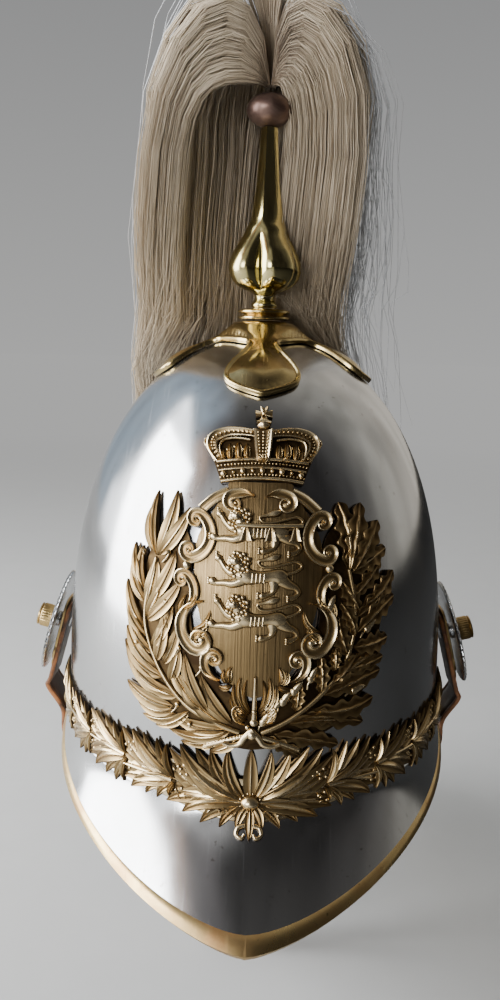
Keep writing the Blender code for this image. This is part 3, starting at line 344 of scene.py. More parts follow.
for piece_name, node_name, middle in (("peak", "front_peak", 0), ("rear_guard", "neck_guard", math.pi)):
    flare = add_flare(piece_name, middle)
    thicken(flare, PEAK_WALL)
    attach(flare, "root")
    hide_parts(node_name)

# Rim edging
# A strip of brass, folded over the metal's edge and soldered at the ears, one length in front and one behind.
# It is worn bright on its crest and stained orange where polish has gathered along it.

EDGING_METAL = 0.8 * MM
EDGING_SLACK = 0.55 * MM
EDGING_WIDTH_MIDDLE = 7 * MM
EDGING_WIDTH_EAR = 4.5 * MM
EDGING_SECTION = 16
BRASS_COLOUR = (0.70, 0.52, 0.24, 1)
BRASS_STAIN = (0.42, 0.20, 0.08, 1)


def polished_brass(name, smooth, colour, stain, clouding, scratching):
    """Polished brass: clouds of deeper colour, dark specks and scratches."""
    made, tree, shader = new_material(name, 1.0)
    tarnish = placed(tree, TARNISH, Scale=36.0).outputs
    scratches = placed(tree, SCRATCHES, Amount=scratching).outputs["Lines"]
    tone = mixed(tree, sums(tree, "MULTIPLY", tarnish["Clouds"], clouding), colour, stain)
    tone = mixed(tree, sums(tree, "MULTIPLY", tarnish["Specks"], 0.5), tone, (0.10, 0.06, 0.03, 1))
    rough = sums(tree, "ADD", spread(tree, tarnish["Clouds"], 0, 1, smooth, smooth + 0.12),
                 sums(tree, "MULTIPLY", scratches, 0.15))
    height = sums(tree, "SUBTRACT", sums(tree, "MULTIPLY", tarnish["Clouds"], 0.25),
                  sums(tree, "MULTIPLY", scratches, 0.2))
    lead_in(tree, shader, tone, rough, height, 0.25, 0.12 * MM)
    return made


EDGE_BRASS = polished_brass("edging_brass", 0.26, BRASS_COLOUR, BRASS_STAIN, 0.75, 0.7)


def edging_width(angle):
    return EDGING_WIDTH_EAR + (EDGING_WIDTH_MIDDLE - EDGING_WIDTH_EAR) * np.abs(np.cos(angle))


def rim_frame(angle):
    """The rim at each angle: its place, the way inwards over the metal and the way out of its face."""
    length, wide = flare_length(angle), edging_width(angle)
    rim = flare_point(angle, length)
    inward = flare_point(angle, length - wide - 1 * MM) - rim
    inward /= np.linalg.norm(inward, axis=1)[:, None]
    outward = np.cross(inward, rim_point(angle + 0.003) - rim_point(angle - 0.003))
    outward /= np.linalg.norm(outward, axis=1)[:, None]
    facing = (outward * np.stack([rim[:, 0], rim[:, 1], np.full(len(rim), RIM_HALF_WIDTH)], -1)).sum(axis=1)
    return rim, inward, np.where(facing[:, None] > 0, outward, -outward)


def channel_section(wide):
    """The folded strip's outline, (inwards, outwards) in turn round it, with a crowned upper face."""
    metal, slack = EDGING_METAL, EDGING_SLACK
    top, under = slack, -PEAK_WALL - slack
    return np.array([(wide, top), (0, top), (-slack, top - 0.3 * MM), (-slack, under + 0.3 * MM), (0, under),
                     (wide, under),
                     (wide, under - 0.7 * metal), (wide - 0.5 * MM, under - metal), (0, under - metal),
                     (-slack - 0.7 * metal, under - 0.5 * metal), (-slack - metal, -0.5 * PEAK_WALL),
                     (-slack - 0.7 * metal, top + 0.5 * metal), (0.2 * wide, top + metal),
                     (0.5 * wide, top + 1.15 * metal),
                     (0.85 * wide, top + 0.9 * metal), (wide, top + 0.45 * metal)])


def close_tube(bm, verts):
    """Joins the two long edges of a grid bent to a tube, closes its ends and turns its faces outwards."""
    faces = list({face for vert in verts for face in vert.link_faces})
    bmesh.ops.remove_doubles(bm, verts=verts, dist=0.0005 * MM)
    faces = [face for face in faces if face.is_valid]
    rim = list({edge for face in faces for edge in face.edges if edge.is_boundary})
    if rim:
        faces += bmesh.ops.holes_fill(bm, edges=rim, sides=0)["faces"]
    bmesh.ops.recalc_face_normals(bm, faces=faces)


def add_edging(name, middle):
    angles = side_angles(middle, FLARE_STATIONS)
    rim, inward, outward = rim_frame(angles)
    wide = edging_width(angles)

    def place(along, around):
        at = np.rint(along * FLARE_STATIONS).astype(int)
        corner = np.rint(around * EDGING_SECTION).astype(int) % EDGING_SECTION
        outline = np.array([channel_section(w)[c] for w, c in zip(wide[at], corner)])
        return rim[at] + inward[at] * outline[:, :1] + outward[at] * outline[:, 1:]

    bm = bmesh.new()
    close_tube(bm, shaped_grid(bm, FLARE_STATIONS, EDGING_SECTION, place))
    return make_piece(name, bm, EDGE_BRASS, sharp=50)


for piece_name, node_name, middle in (("peak_edging", "front_edging", 0),
                                      ("guard_edging", "rear_edging", math.pi)):
    edging = add_edging(piece_name, middle)
    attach(edging, "root")
    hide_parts(node_name)

# Leaf bands
# Sprays of bay leaves struck in brass sheet, one band round the front of the brow and one behind, soldered
# over the joint of the skull with its peak and guard. Berries fill the forks, and a boss sits in the middle.

LAID_GAP = 0.65 * MM
BAND_METAL = 0.9
BAND_BOSS_RADIUS = 4.2
BAND_GROUND_TRIM = 4.5
BAND_HALF = 149  # from its middle to each ear
REAR_LINE = 9.0  # the rear band's middle line, over the brow line
FRONT_FORKS = (33, 58, 84, 109, 133)
REAR_FORKS = (40, 80, 120)
BERRY_RADIUS = 0.95
ROUND_BERRY = 1.4  # larger berries have finer faces
SPIRAL_TURN = 2.4  # between one berry of a cluster and the next
STRUCK_SHARP = 43  # degrees
# Colours from the lowest relief to the highest: the real patina and polish of struck brass, with painted
# shade that darkens hollows, gaps and undersides nearly to black.
STRUCK_TONES = (  # from the hollows to the polished heights
    (0, (0.022, 0.012, 0.006)), (0.22, (0.055, 0.032, 0.014)), (0.45, (0.21, 0.135, 0.058)),
    (0.70, (0.52, 0.37, 0.175)), (1, (0.90, 0.73, 0.45)))
# The tips of a spray's leaves in mm, along the band from the spray's foot and up, over its stem and under it.
FRONT_OVER = ((32, -5.5), (27, -1.0), (21, 0.5), (14.5, 0.9), (8, 0.5), (2, -1.0))
FRONT_UNDER = ((33, 8.5), (29, 4.0), (22, 1.2), (14.5, 0.2), (7.5, 0.2), (1.5, 1.8))
MIDDLE_OVER = ((36, 13.0), (33, 18.0), (27.5, 20.6), (21, 21.4), (14, 21.3), (6.8, 21.8))
MIDDLE_UNDER = ((37, -1.0), (33.5, -5.6), (27.5, -9.4), (19, -11.6), (10.5, -12.6))
FRONT_CURL = ((1.5, -11.5), (4.6, -12.6), (5.6, -15.6), (3.2, -16.8), (2.2, -15.2))
REAR_OVER = ((40, 13.0), (33, 15.8), (25, 17), (17, 17), (9, 16.8), (2, 15))
REAR_UNDER = ((40, 5.0), (33, 2.2), (25, 1.0), (17, 1.0), (9, 1.2), (2, 2.8))
REAR_MIDDLE_OVER = ((40, 13.0), (34, 15.8), (26, 17), (18, 17), (10, 17), (3.5, 17))
REAR_MIDDLE_UNDER = ((40, 5.0), (34, 2.2), (26, 1.0), (18, 1.0), (10, 1.0), (3.5, 1.0))
LEAF_SECTION = (  # across the leaf, height share; -1 is the flat underside
    (-1.0, 0.42), (-0.93, 0.70), (-0.80, 0.62), (-0.45, 0.30), (-0.16, 0.42), (-0.07, 0.92), (0.0, 1.0),
    (0.07, 0.92), (0.16, 0.42), (0.45, 0.30), (0.80, 0.62), (0.93, 0.70), (1.0, 0.42), (0.95, -1),
    (-0.95, -1))
BAY_SECTION = ((-1.0, 0.45), (-0.86, 0.70), (-0.38, 0.30), (0.0, 1.0), (0.38, 0.30), (0.86, 0.70),
               (1.0, 0.45), (0.9, -1), (-0.9, -1))
STEM_SECTION = ((-1.0, 0.25), (-0.85, 0.6), (-0.45, 0.92), (0.0, 1.0), (0.45, 0.92), (0.85, 0.6), (1.0, 0.25),
                (0.9, -1), (-0.9, -1))
FLAT_SECTION = ((-1.0, 0.8), (-0.97, 1.0), (-0.5, 1.0), (0.0, 1.0), (0.5, 1.0), (0.97, 1.0), (1.0, 0.8),
                (0.98, -1), (-0.98, -1))

CLIMB = SKULL_HEIGHT * np.sin(np.linspace(0, math.pi / 2, 601))
SHARES = dome_share(CLIMB)
FRONT_STEPS = np.hypot(np.diff(CLIMB), SKULL_HALF_LENGTH * np.diff(SHARES))
FRONT_MERIDIAN = np.concatenate([[0], np.cumsum(FRONT_STEPS)])
ANGLES = np.linspace(0, math.pi, 721)
BROW = skull_point(ANGLES, 0.0)
ARCS = np.concatenate([[0], np.cumsum(np.linalg.norm(np.diff(BROW, axis=0), axis=1))])
HALF_GIRTH = ARCS[-1]
draw = np.random.default_rng(7)


def on_front(across, up):
    """Places on the helmet: the way round it from the front middle, and the way up it from the brow line."""
    across, up = np.asarray(across, float), np.asarray(up, float)
    height = np.interp(up, FRONT_MERIDIAN, CLIMB)
    share = np.maximum(dome_share(height), 0.02)
    angle = np.copysign(np.interp(np.abs(across) / share, ARCS, ANGLES), across)
    places = skull_point(angle, height)
    below = up < 0
    if below.any():
        places[below] = flare_point(angle[below], -up[below])
    return places


def behind(across, up):
    """The same for the back, from its middle."""
    across = np.asarray(across, float)
    return on_front(np.copysign(HALF_GIRTH - np.abs(across), np.where(across == 0, 1, -across)), up)


def raised(surface, first, second, lift):
    """Points at heights over one of the surfaces, along its normal."""
    step = 0.4 * MM
    right = surface(first + step, second) - surface(first - step, second)
    up = surface(first, second + step) - surface(first, second - step)
    normal = np.cross(right, up)
    normal /= np.linalg.norm(normal, axis=1)[:, None]
    return surface(first, second) + normal * lift[:, None]


def lay(bm, surface, unit=MM):
    """Bends flat relief, drawn as (first, second, lift) in millimetres, onto a surface."""
    flat = np.array([vert.co for vert in bm.verts]) * unit
    for vert, point in zip(bm.verts, raised(surface, flat[:, 0], flat[:, 1], LAID_GAP + flat[:, 2])):
        vert.co = point


def smooth_through(points, count):
    """Points along a smooth curve through the given ones."""
    points = np.asarray(points, float)
    at = np.linspace(0, len(points) - 1, count)
    first = np.minimum(at.astype(int), len(points) - 2)
    t = (at - first)[:, None]
    before, a = points[np.maximum(first - 1, 0)], points[first]
    b, after = points[first + 1], points[np.minimum(first + 2, len(points) - 1)]
    return 0.5 * (2 * a + (b - before) * t + (2 * before - 5 * a + 4 * b - after) * t ** 2
                  + (3 * a - before - 3 * b + after) * t ** 3)


def new_relief():
    """A bmesh that remembers at each corner its wear and painted light: bright on polished heights, dark as
    painted shade in hollows and gaps.
    """
    bm = bmesh.new()
    bm.verts.layers.float.new("wear_and_painted_light")
    return bm


def strip(bm, line, half, section, base, rise, tilt=0.0, veins=0, bright=1.0):
    """A closed strip of relief along a line: its half-width, its foot's level and its section's height."""
    count, corners = len(line), len(section)
    half, base, rise = (np.broadcast_to(value, count) for value in (half, base, rise))
    way = np.gradient(line, axis=0)
    way /= np.maximum(np.linalg.norm(way, axis=1), 1e-9)[:, None]
    side = np.stack([way[:, 1], -way[:, 0]], -1)
    across, height = np.array(section).T
    levels = {}

    def place(along, around):
        at = np.rint(along * (count - 1)).astype(int)
        corner = np.rint(around * corners).astype(int) % corners
        t, h = across[corner], height[corner]
        flat = line[at] + side[at] * (half[at] * t)[:, None]
        vein = 0
        if veins:
            vein = np.cos(math.tau * (veins * along - 0.9 * np.abs(t))) * np.sin(math.pi * np.abs(t))
        lift = base[at] + rise[at] * (h + 0.16 * vein) + tilt * t * half[at]
        # Painted shade and polish: the underside and the outer edge are painted nearly black as shade; the
        # value rises with the section's height and the strip's rise, real polish on the heights and painted
        # shade lower down.
        hollow = (h < 0) | (np.abs(t) > 0.99)
        polish = (0.24 + 0.76 * h + 0.12 * vein) * (0.3 + 0.7 * rise[at] / rise.max())
        levels["wear_and_painted_light"] = np.where(hollow, 0.04, polish)
        return np.concatenate([flat, np.where(h < 0, 0, lift)[:, None]], axis=1)

    verts = shaped_grid(bm, count - 1, corners, place)
    layer = bm.verts.layers.float["wear_and_painted_light"]
    for vert, level in zip(verts, levels["wear_and_painted_light"] * bright):
        vert[layer] = min(1.0, max(0.0, level))
    close_tube(bm, verts)


def leaf(bm, root, tip, half, rise=1.3, base=0.9, bow=0.0, tilt=0.0, lobes=0, bright=1.0,
         section=LEAF_SECTION, steps=13):
    """A leaf from its root to its tip, bowed to one side; an oak leaf has lobes and veins to them."""
    root, tip = np.asarray(root, float), np.asarray(tip, float)
    s = np.linspace(0, 1, 8 * lobes + 3 if lobes else steps)
    chord = tip - root
    aside = np.array([-chord[1], chord[0]]) * bow
    line = root + chord * s[:, None] + aside * (4 * s * (1 - s))[:, None]
    if lobes:
        wide = np.sin(math.pi * s ** 1.15) ** 0.55 * (0.80 + 0.20 * np.cos(math.tau * (lobes * s + 0.30)))
    else:
        wide = 0.95 * np.sin(math.pi * s ** 0.82) ** 0.7
    wide = half * np.maximum(wide, 0.05)
    swell = np.sin(math.pi * s ** 0.75)
    base, rise = base * (0.45 + 0.55 * swell), rise * (0.40 + 0.60 * swell)
    strip(bm, line, wide, section, base, rise, tilt, lobes, bright)


def berry(bm, across, up, radius=BERRY_RADIUS, lift=1.0):
    made = bmesh.ops.create_icosphere(bm, subdivisions=2 if radius > ROUND_BERRY else 1, radius=radius,
                                      matrix=Matrix.Translation((across, up, lift)))["verts"]
    wear_and_painted_light = bm.verts.layers.float["wear_and_painted_light"]
    # Painted shade: each berry darkens from its top down to its foot.
    for vert in made:
        vert[wear_and_painted_light] = min(1.0, max(0.0, (vert.co.z - lift) / radius + 0.25))


def berries(bm, across, up, count=6, lift=1.2):
    for step in range(count):
        turn, out = step * SPIRAL_TURN, 1.5 * step ** 0.5
        berry(bm, across + out * math.cos(turn), up + out * math.sin(turn), lift=lift)


def struck_brass(name="struck_brass", lined=False):
    """Brass struck from a die: bright where it stands high and is polished, brown in its hollows with patina
    and painted shade.
    """
    made, tree, shader = new_material(name, 0.95)
    tarnish = placed(tree, TARNISH, Scale=70.0).outputs
    scratches = placed(tree, SCRATCHES, Amount=0.5).outputs["Lines"]
    wear_and_painted_light = node(tree, "ShaderNodeAttribute", attribute_name="wear_and_painted_light").outputs["Fac"]
    tone = ramped(tree, wear_and_painted_light, STRUCK_TONES)
    colour = mixed(tree, sums(tree, "MULTIPLY", tarnish["Clouds"], 0.40), tone, (0.26, 0.17, 0.07, 1))
    colour = mixed(tree, sums(tree, "MULTIPLY", tarnish["Specks"], 0.5), colour, (0.06, 0.035, 0.02, 1))
    height = sums(tree, "MULTIPLY", tarnish["Clouds"], 0.3)
    if lined:
        place = node(tree, "ShaderNodeTexCoord").outputs["Object"]
        drawn = node(tree, "ShaderNodeMapping", {"Vector": place, "Scale": (3000, 40, 14)})
        lines = node(tree, "ShaderNodeTexNoise", {"Vector": drawn.outputs[0], "Scale": 1.0, "Detail": 2.0})
        fine = spread(tree, lines.outputs["Fac"], 0.38, 0.62)
        colour = mixed(tree, sums(tree, "MULTIPLY", fine, 0.6), colour, (0.17, 0.11, 0.05, 1))
        height = sums(tree, "ADD", height, sums(tree, "MULTIPLY", fine, -1.0))
    rough = sums(tree, "ADD", spread(tree, wear_and_painted_light, 0.1, 0.9, 0.48, 0.21),
                 sums(tree, "MULTIPLY", scratches, 0.1))
    lead_in(tree, shader, colour, rough, height, 0.35, 0.15 * MM)
    return made


STRUCK_BRASS = struck_brass()


def band_line(across):
    return 9 - 10 * np.exp(-(across / 42) ** 2)


def on_side(side, points):
    """Points drawn for the right side (side 1), or the same on the left (side -1)."""
    return [(side * x, y) for x, y in points]


def bay_fork(bm, across, side, reach, over, under, fork_up):
    """Bay leaves on both sides of a fork in the stem; over and under are (along, up) of their tips."""
    for number, (along, up) in enumerate(over + under):
        above = number < len(over)
        start = np.array([across - side * draw.uniform(0, 2), fork_up + (0.6 if above else -0.6)])
        tip = np.array([across + side * along, up]) + draw.normal(0, 0.4, 2)
        long = np.hypot(*(tip - start))
        bend = (-1 if above else 1) * side * draw.uniform(0.06, 0.13)
        leaf(bm, start, tip, reach * (0.125 * long if above else 0.15 * long), rise=1.35,
             base=0.6 + 0.50 * (number % 3), bow=bend, tilt=draw.uniform(-0.16, 0.16),
             section=BAY_SECTION, steps=8)
    stem = np.array([(across, fork_up), (across + side * 13, fork_up + 0.4), (across + side * 25, fork_up)])
    strip(bm, smooth_through(stem, 12), np.linspace(1.0, 0.7, 12), STEM_SECTION, 0.9, 1.5)


def front_band():
    bm = new_relief()
    stations = np.linspace(-BAND_HALF, BAND_HALF, 200)
    line = np.stack([stations, band_line(stations) + 0.4], -1)
    tall = (19 + 6 * np.exp(-(stations / 84) ** 2)) / 2
    strip(bm, line, tall - BAND_GROUND_TRIM + 1.5, FLAT_SECTION, 0.0, BAND_METAL * 0.7)
    for side in (-1, 1):
        for number, across in enumerate(FRONT_FORKS):
            level = band_line(across) + 0.8
            top, low = 21.5 - 0.02 * across, -6.4 + 0.045 * max(across - 58, 0)
            over = [(along, top + up) for along, up in FRONT_OVER]
            under = [(along, low + up) for along, up in FRONT_UNDER]
            bay_fork(bm, side * across, side, 1.0, over, under, level)
            berries(bm, side * (across - 4.0), level + 5.6)
            berries(bm, side * (across - 3.0), level - 5.2)
        bay_fork(bm, side * 2.2, side, 1.0, MIDDLE_OVER, MIDDLE_UNDER, -1.2)
        berries(bm, side * 8.5, 6.2)
        berries(bm, side * 9.5, -5.6)
        curl = smooth_through(on_side(side, FRONT_CURL), 16)
        strip(bm, curl, np.linspace(1.2, 0.7, 16), STEM_SECTION, 0.9, 1.5)
        leaf(bm, (side * 0.8, -3), (side * 5.5, -13.5), 2.2, base=1.3, bow=side * 0.08)
    leaf(bm, (0.2, -0.5), (0.2, 22.0), 3.2, base=1.6)
    leaf(bm, (0.2, -4), (0.2, -17.8), 2.3, base=1.7)
    berry(bm, 0.3, -1.4, BAND_BOSS_RADIUS, 1.2)
    for step in range(14):
        turn = math.tau * step / 14
        berry(bm, 0.3 + 4.4 * math.cos(turn), -1.4 + 4.4 * math.sin(turn), 0.7, 1.5)
    lay(bm, on_front)
    return make_piece("front_leaf_band", bm, STRUCK_BRASS, sharp=STRUCK_SHARP)


def rear_band():
    bm = new_relief()
    stations = np.linspace(-BAND_HALF, BAND_HALF, 160)
    line = np.stack([stations, np.full(len(stations), REAR_LINE)], -1)
    strip(bm, line, 6.5, FLAT_SECTION, 0.0, BAND_METAL * 0.7)
    for side in (-1, 1):
        for across in REAR_FORKS:
            bay_fork(bm, side * across, side, 0.95, REAR_OVER, REAR_UNDER, REAR_LINE)
            berries(bm, side * (across - 4.5), 13)
            berries(bm, side * (across - 4.5), 5)
        bay_fork(bm, side * 2.5, side, 0.9, REAR_MIDDLE_OVER, REAR_MIDDLE_UNDER, REAR_LINE)
    berry(bm, 0, REAR_LINE, 3.4, 1.2)
    lay(bm, behind)
    return make_piece("rear_leaf_band", bm, STRUCK_BRASS, sharp=STRUCK_SHARP)


for band, node_name in ((front_band(), "front_band"), (rear_band(), "rear_band")):
    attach(band, "root")
    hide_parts(node_name)

# Wreath
# A branch of laurel on the left and one of oak on the right, struck in brass, crossed and tied at the foot.
# Their ground is one plate, held to the skull by studs through it.

WREATH_GROUND = 0.8
LAUREL_LEAVES = (  # root, tip (across, up), half-width
    (-43.1, 98, -44.0, 125.0, 2.6), (-42.6, 98.1, -34.4, 126.1, 3.3), (-41.6, 98.3, -28.1, 119.6, 3.2),
    (-43.7, 98.8, -47.0, 118.0, 3.0), (-49.0, 82, -55.0, 101.5, 2.7), (-48.0, 83, -50.2, 101, 2.6),
    (-47.3, 76.5, -43.2, 97.6, 3.4), (-43.8, 80.0, -33.8, 101.0, 3.2), (-46.5, 70.8, -30.8, 89.6, 3.3),
    (-48.0, 67.0, -59.0, 85.4, 3.5), (-46.8, 64.0, -58.5, 77.0, 2.6), (-41.5, 54.7, -38.2, 75.5, 3.5),
    (-38.0, 54.2, -31.6, 71.5, 2.9), (-40.1, 50.5, -58.0, 66.0, 3.8), (-38.0, 48.5, -58.8, 60.0, 3.2),
    (-30.8, 41.6, -56.8, 51.0, 3.9), (-33.0, 37.0, -57.0, 42.6, 3.6), (-33.0, 35.5, -50.6, 35.6, 3.2),
    (-30.0, 34.0, -48.2, 30.2, 3.0), (-23.1, 40.8, -34.4, 56.8, 3.0), (-17.5, 36.7, -28.4, 60.6, 3.4),
    (-8.0, 33.0, -21.4, 52.6, 3.6), (-9.5, 31.0, -33.6, 33.4, 3.2), (-8.9, 29.6, -34.6, 27.0, 3.0),
    (-9.5, 28.2, -29.4, 22.6, 2.8), (-5.0, 28.0, -17.0, 20.2, 2.4), (-20.0, 38.0, -29.5, 49.5, 2.7),
    (-46.9, 72, -39.0, 90.0, 3.1), (-44.0, 60, -34.0, 80.0, 3.0), (-34.5, 47, -31.0, 62.5, 2.9),
    (-12.0, 33.5, -26.0, 44.0, 2.9), (-47.4, 78, -56.6, 93.0, 3.0), (-36.0, 43.0, -57.8, 55.4, 3.1),
    (-26.0, 36.0, -41.5, 27.0, 2.6), (-43.0, 57.5, -57.6, 72.0, 2.9))
LAUREL_STEM = ((-5, 29.5), (-17, 33.5), (-28.5, 39.5), (-38.5, 50), (-45.6, 63), (-47.6, 76), (-43, 97))
OAK_LEAVES = (
    (38.8, 94.4, 33.8, 123.0, 6.6), (39.3, 94.3, 44.8, 122.0, 6.4), (40.8, 93.8, 54.6, 113.6, 5.6),
    (40.3, 93.4, 59.5, 101.4, 5.4), (45.3, 79.2, 64.0, 91.4, 5.6), (43.7, 68.8, 64.4, 80.6, 5.8),
    (44.9, 76.9, 36.0, 91.0, 4.6), (39.5, 59.6, 34.8, 76.0, 4.6), (41.7, 62.9, 60.5, 64.0, 5.4),
    (34.5, 50.8, 55.0, 60.2, 5.2), (28.8, 44.3, 57.0, 50.6, 5.6), (24.0, 39.0, 53.4, 39.6, 5.4),
    (13.9, 33.2, 48.8, 29.4, 5.2), (8.1, 29.1, 36.8, 21.8, 4.6), (27.5, 45.3, 27.4, 60.6, 4.0),
    (17.5, 38.3, 18.8, 50.0, 3.4), (5.0, 28.5, 20.0, 18.8, 3.4), (33.0, 54.0, 33.8, 64.0, 3.2),
    (42.0, 84.0, 56.0, 97.0, 4.8), (43.0, 75.0, 59.5, 84.5, 4.6), (42.5, 67.0, 35.4, 82.0, 3.6),
    (36.0, 54.0, 58.6, 56.0, 4.4), (20.0, 36.0, 40.0, 33.0, 4.2), (32.0, 49.0, 44.0, 60.0, 4.0))
OAK_STEM = ((4, 29.5), (16, 35.5), (29, 45.5), (38.5, 57), (42.4, 70), (42, 82), (39, 95))
ACORNS = ((24.8, 56.0, 22.6, 50.6), (19.4, 51.0, 15.6, 46.0), (31.9, 84.8, 29.9, 79.0),
          (5.9, 37.3, 3.6, 33.2), (10.3, 42.4, 7.3, 38.0), (14.3, 46.4, 11.3, 41.8),
          (51.0, 71.5, 47.5, 68.5), (46.0, 45.4, 41.6, 44.0))
LAUREL_BERRIES = ((-48.8, 98.6), (-36.4, 100.2), (-30.4, 62.2), (-30.6, 38.6), (-51.2, 60.6), (-37.0, 80.0),
                  (-25.0, 31.0), (-20.6, 55.6))
TIE_LOOP = ((-0.5, 31.5), (2.5, 28.5), (4.5, 25.5), (8, 24.6), (11, 25.6))
TIE_TASSEL = ((3.5, 28.2), (11, 25.8), (19, 22.4))
NUT_SHAPE = np.array([0.7, 0.95, 1.0, 1.0, 0.97, 0.88, 0.7, 0.42, 0.12])
CUP_SHAPE = np.array([0.35, 0.8, 1.0, 1.05, 1.0, 0.85])
GROUND_OUTLINE = ((0, 22), (-20, 25), (-36, 32), (-47, 45), (-52, 62), (-51, 80), (-47, 98), (-40, 112),
                  (-33, 114), (-27, 104), (-27, 84), (-24, 66), (-12, 48), (0, 42), (12, 48), (24, 66),
                  (27, 84), (27, 104), (33, 114), (42, 112), (52, 98), (57, 80), (55, 62), (49, 45),
                  (38, 32), (20, 25))


def cut_in_cells(bm, cell, low, high):
    """Cuts every face along straight lines both ways, so that it can follow a curve."""
    for axis, normal in ((0, (1, 0, 0)), (1, (0, 1, 0))):
        for place in np.arange(low[axis] + cell, high[axis], cell):
            bmesh.ops.bisect_plane(bm, geom=bm.verts[:] + bm.edges[:] + bm.faces[:], dist=0.001 * cell,
                                   plane_co=[place * part for part in normal], plane_no=normal)


def absorb(bm, other):
    """Moves all of another bmesh into this one."""
    mesh = bpy.data.meshes.new("moved")
    other.to_mesh(mesh)
    other.free()
    bm.from_mesh(mesh)
    bpy.data.meshes.remove(mesh)


def ground_plate(bm, outline, height, cell=6.0, dome=0.0):
    """A flat plate with the outline, cut up so that it bends; dome lifts its middle."""
    plate = new_relief()
    face = plate.faces.new([plate.verts.new((x, y, 0)) for x, y in outline])
    made = bmesh.ops.extrude_face_region(plate, geom=[face])["geom"]
    for vert in [item for item in made if isinstance(item, bmesh.types.BMVert)]:
        vert.co.z = height
    cut_in_cells(plate, cell, outline.min(axis=0), outline.max(axis=0))
    bmesh.ops.triangulate(plate, faces=[face for face in plate.faces if len(face.verts) > 4])
    bmesh.ops.recalc_face_normals(plate, faces=plate.faces)
    wear_and_painted_light = plate.verts.layers.float["wear_and_painted_light"]
    middle, half = (outline.min(axis=0) + outline.max(axis=0)) / 2, np.ptp(outline, axis=0) / 2
    for vert in plate.verts:
        if vert.co.z > 0:
            off = ((vert.co.x - middle[0]) / half[0]) ** 2 + ((vert.co.y - middle[1]) / half[1]) ** 2
            vert.co.z += dome * max(0.0, 1 - off)
            # The flat grounds are dark, partly real patina and partly painted shade between the relief on
            # them; the domed shield field gets a middle value.
            vert[wear_and_painted_light] = 0.55 if dome else 0.12
    absorb(bm, plate)


def acorn(bm, across, up, to_across, to_up):
    """An acorn in its cup, and the stalk of it."""
    seat, tip = np.array([to_across, to_up]), np.array([across, up])
    way = (tip - seat) / np.linalg.norm(tip - seat)
    cup = smooth_through([seat, seat + way * 2.4], 6)
    strip(bm, cup, 2.0 * CUP_SHAPE, STEM_SECTION, 0.8, 2.1)
    nut = smooth_through([seat + way * 1.6, seat + way * 6.6], 9)
    strip(bm, nut, 1.65 * NUT_SHAPE, STEM_SECTION, 0.9, 1.8)
    stalk = smooth_through([seat, seat - way * 1.5, seat - way * 3 + way[::-1] * (0.6, -0.6)], 5)
    strip(bm, stalk, 0.55, STEM_SECTION, 0.8, 0.9)


bm = new_relief()
closed = np.array(GROUND_OUTLINE + GROUND_OUTLINE[:1], float)
ground_plate(bm, smooth_through(closed, 130)[:-1], WREATH_GROUND)
for number, (x0, y0, x1, y1, half) in enumerate(LAUREL_LEAVES):
    inner = x1 > x0
    leaf(bm, (x0, y0), (x1, y1), half, rise=1.5, base=1.2 + 0.3 * (number % 3), bow=-0.07 if inner else 0.08,
         tilt=draw.uniform(-0.18, 0.18))
# The oak leaves keep less of the painted light than the laurel: painted shade on the right-hand branch. The
# stems below are darker too.
for number, (x0, y0, x1, y1, half) in enumerate(OAK_LEAVES):
    leaf(bm, (x0, y0), (x1, y1), half, rise=1.7, base=1.1 + 0.35 * (number % 3),
         bow=draw.uniform(-0.08, 0.08),
         tilt=draw.uniform(-0.1, 0.1), lobes=4, bright=0.85)
for stem in (LAUREL_STEM, OAK_STEM):
    strip(bm, smooth_through(stem, 46), np.linspace(1.3, 0.8, 46), STEM_SECTION, 0.5, 1.5, bright=0.8)
for place in ACORNS:
    acorn(bm, *place)
for across, up in LAUREL_BERRIES:
    berry(bm, across, up, 1.25, 2.0)
    stalk = smooth_through([(across, up), (across - 1.2, up - 2.4), (across - 3.2, up - 4.6)], 6)
    strip(bm, stalk, 0.45, STEM_SECTION, 1.0, 0.9)

# The tie: two ribbons crossed over the stems, with the cut ends of the branches below them.
for side in (-1, 1):
    loop = smooth_through(on_side(-side, TIE_LOOP), 16)
    strip(bm, loop, np.linspace(1.5, 1.0, 16), STEM_SECTION, 2.2, 1.8)
    tassel = smooth_through(on_side(-side, TIE_TASSEL), 40)
    strip(bm, tassel, 1.15 + 0.22 * np.cos(np.arange(40) * 2.1), STEM_SECTION, 1.4, 1.5)
    leaf(bm, (-side * 15.5, 23.8), (-side * 21, 21.4), 1.7, base=1.8)
berry(bm, 0.2, 29.4, 2.2, 2.6)
berry(bm, -1.6, 32.6, 1.2, 2.8)
lay(bm, on_front)
wreath = make_piece("laurel_oak_wreath", bm, STRUCK_BRASS, sharp=STRUCK_SHARP)
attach(wreath, "root")
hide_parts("wreath")

# Shield
# A plate of brass ruled with upright lines, framed by scrolls and leafwork and charged with three walking
# lions. It is struck in one with its frame and stands over the ground of the wreath.

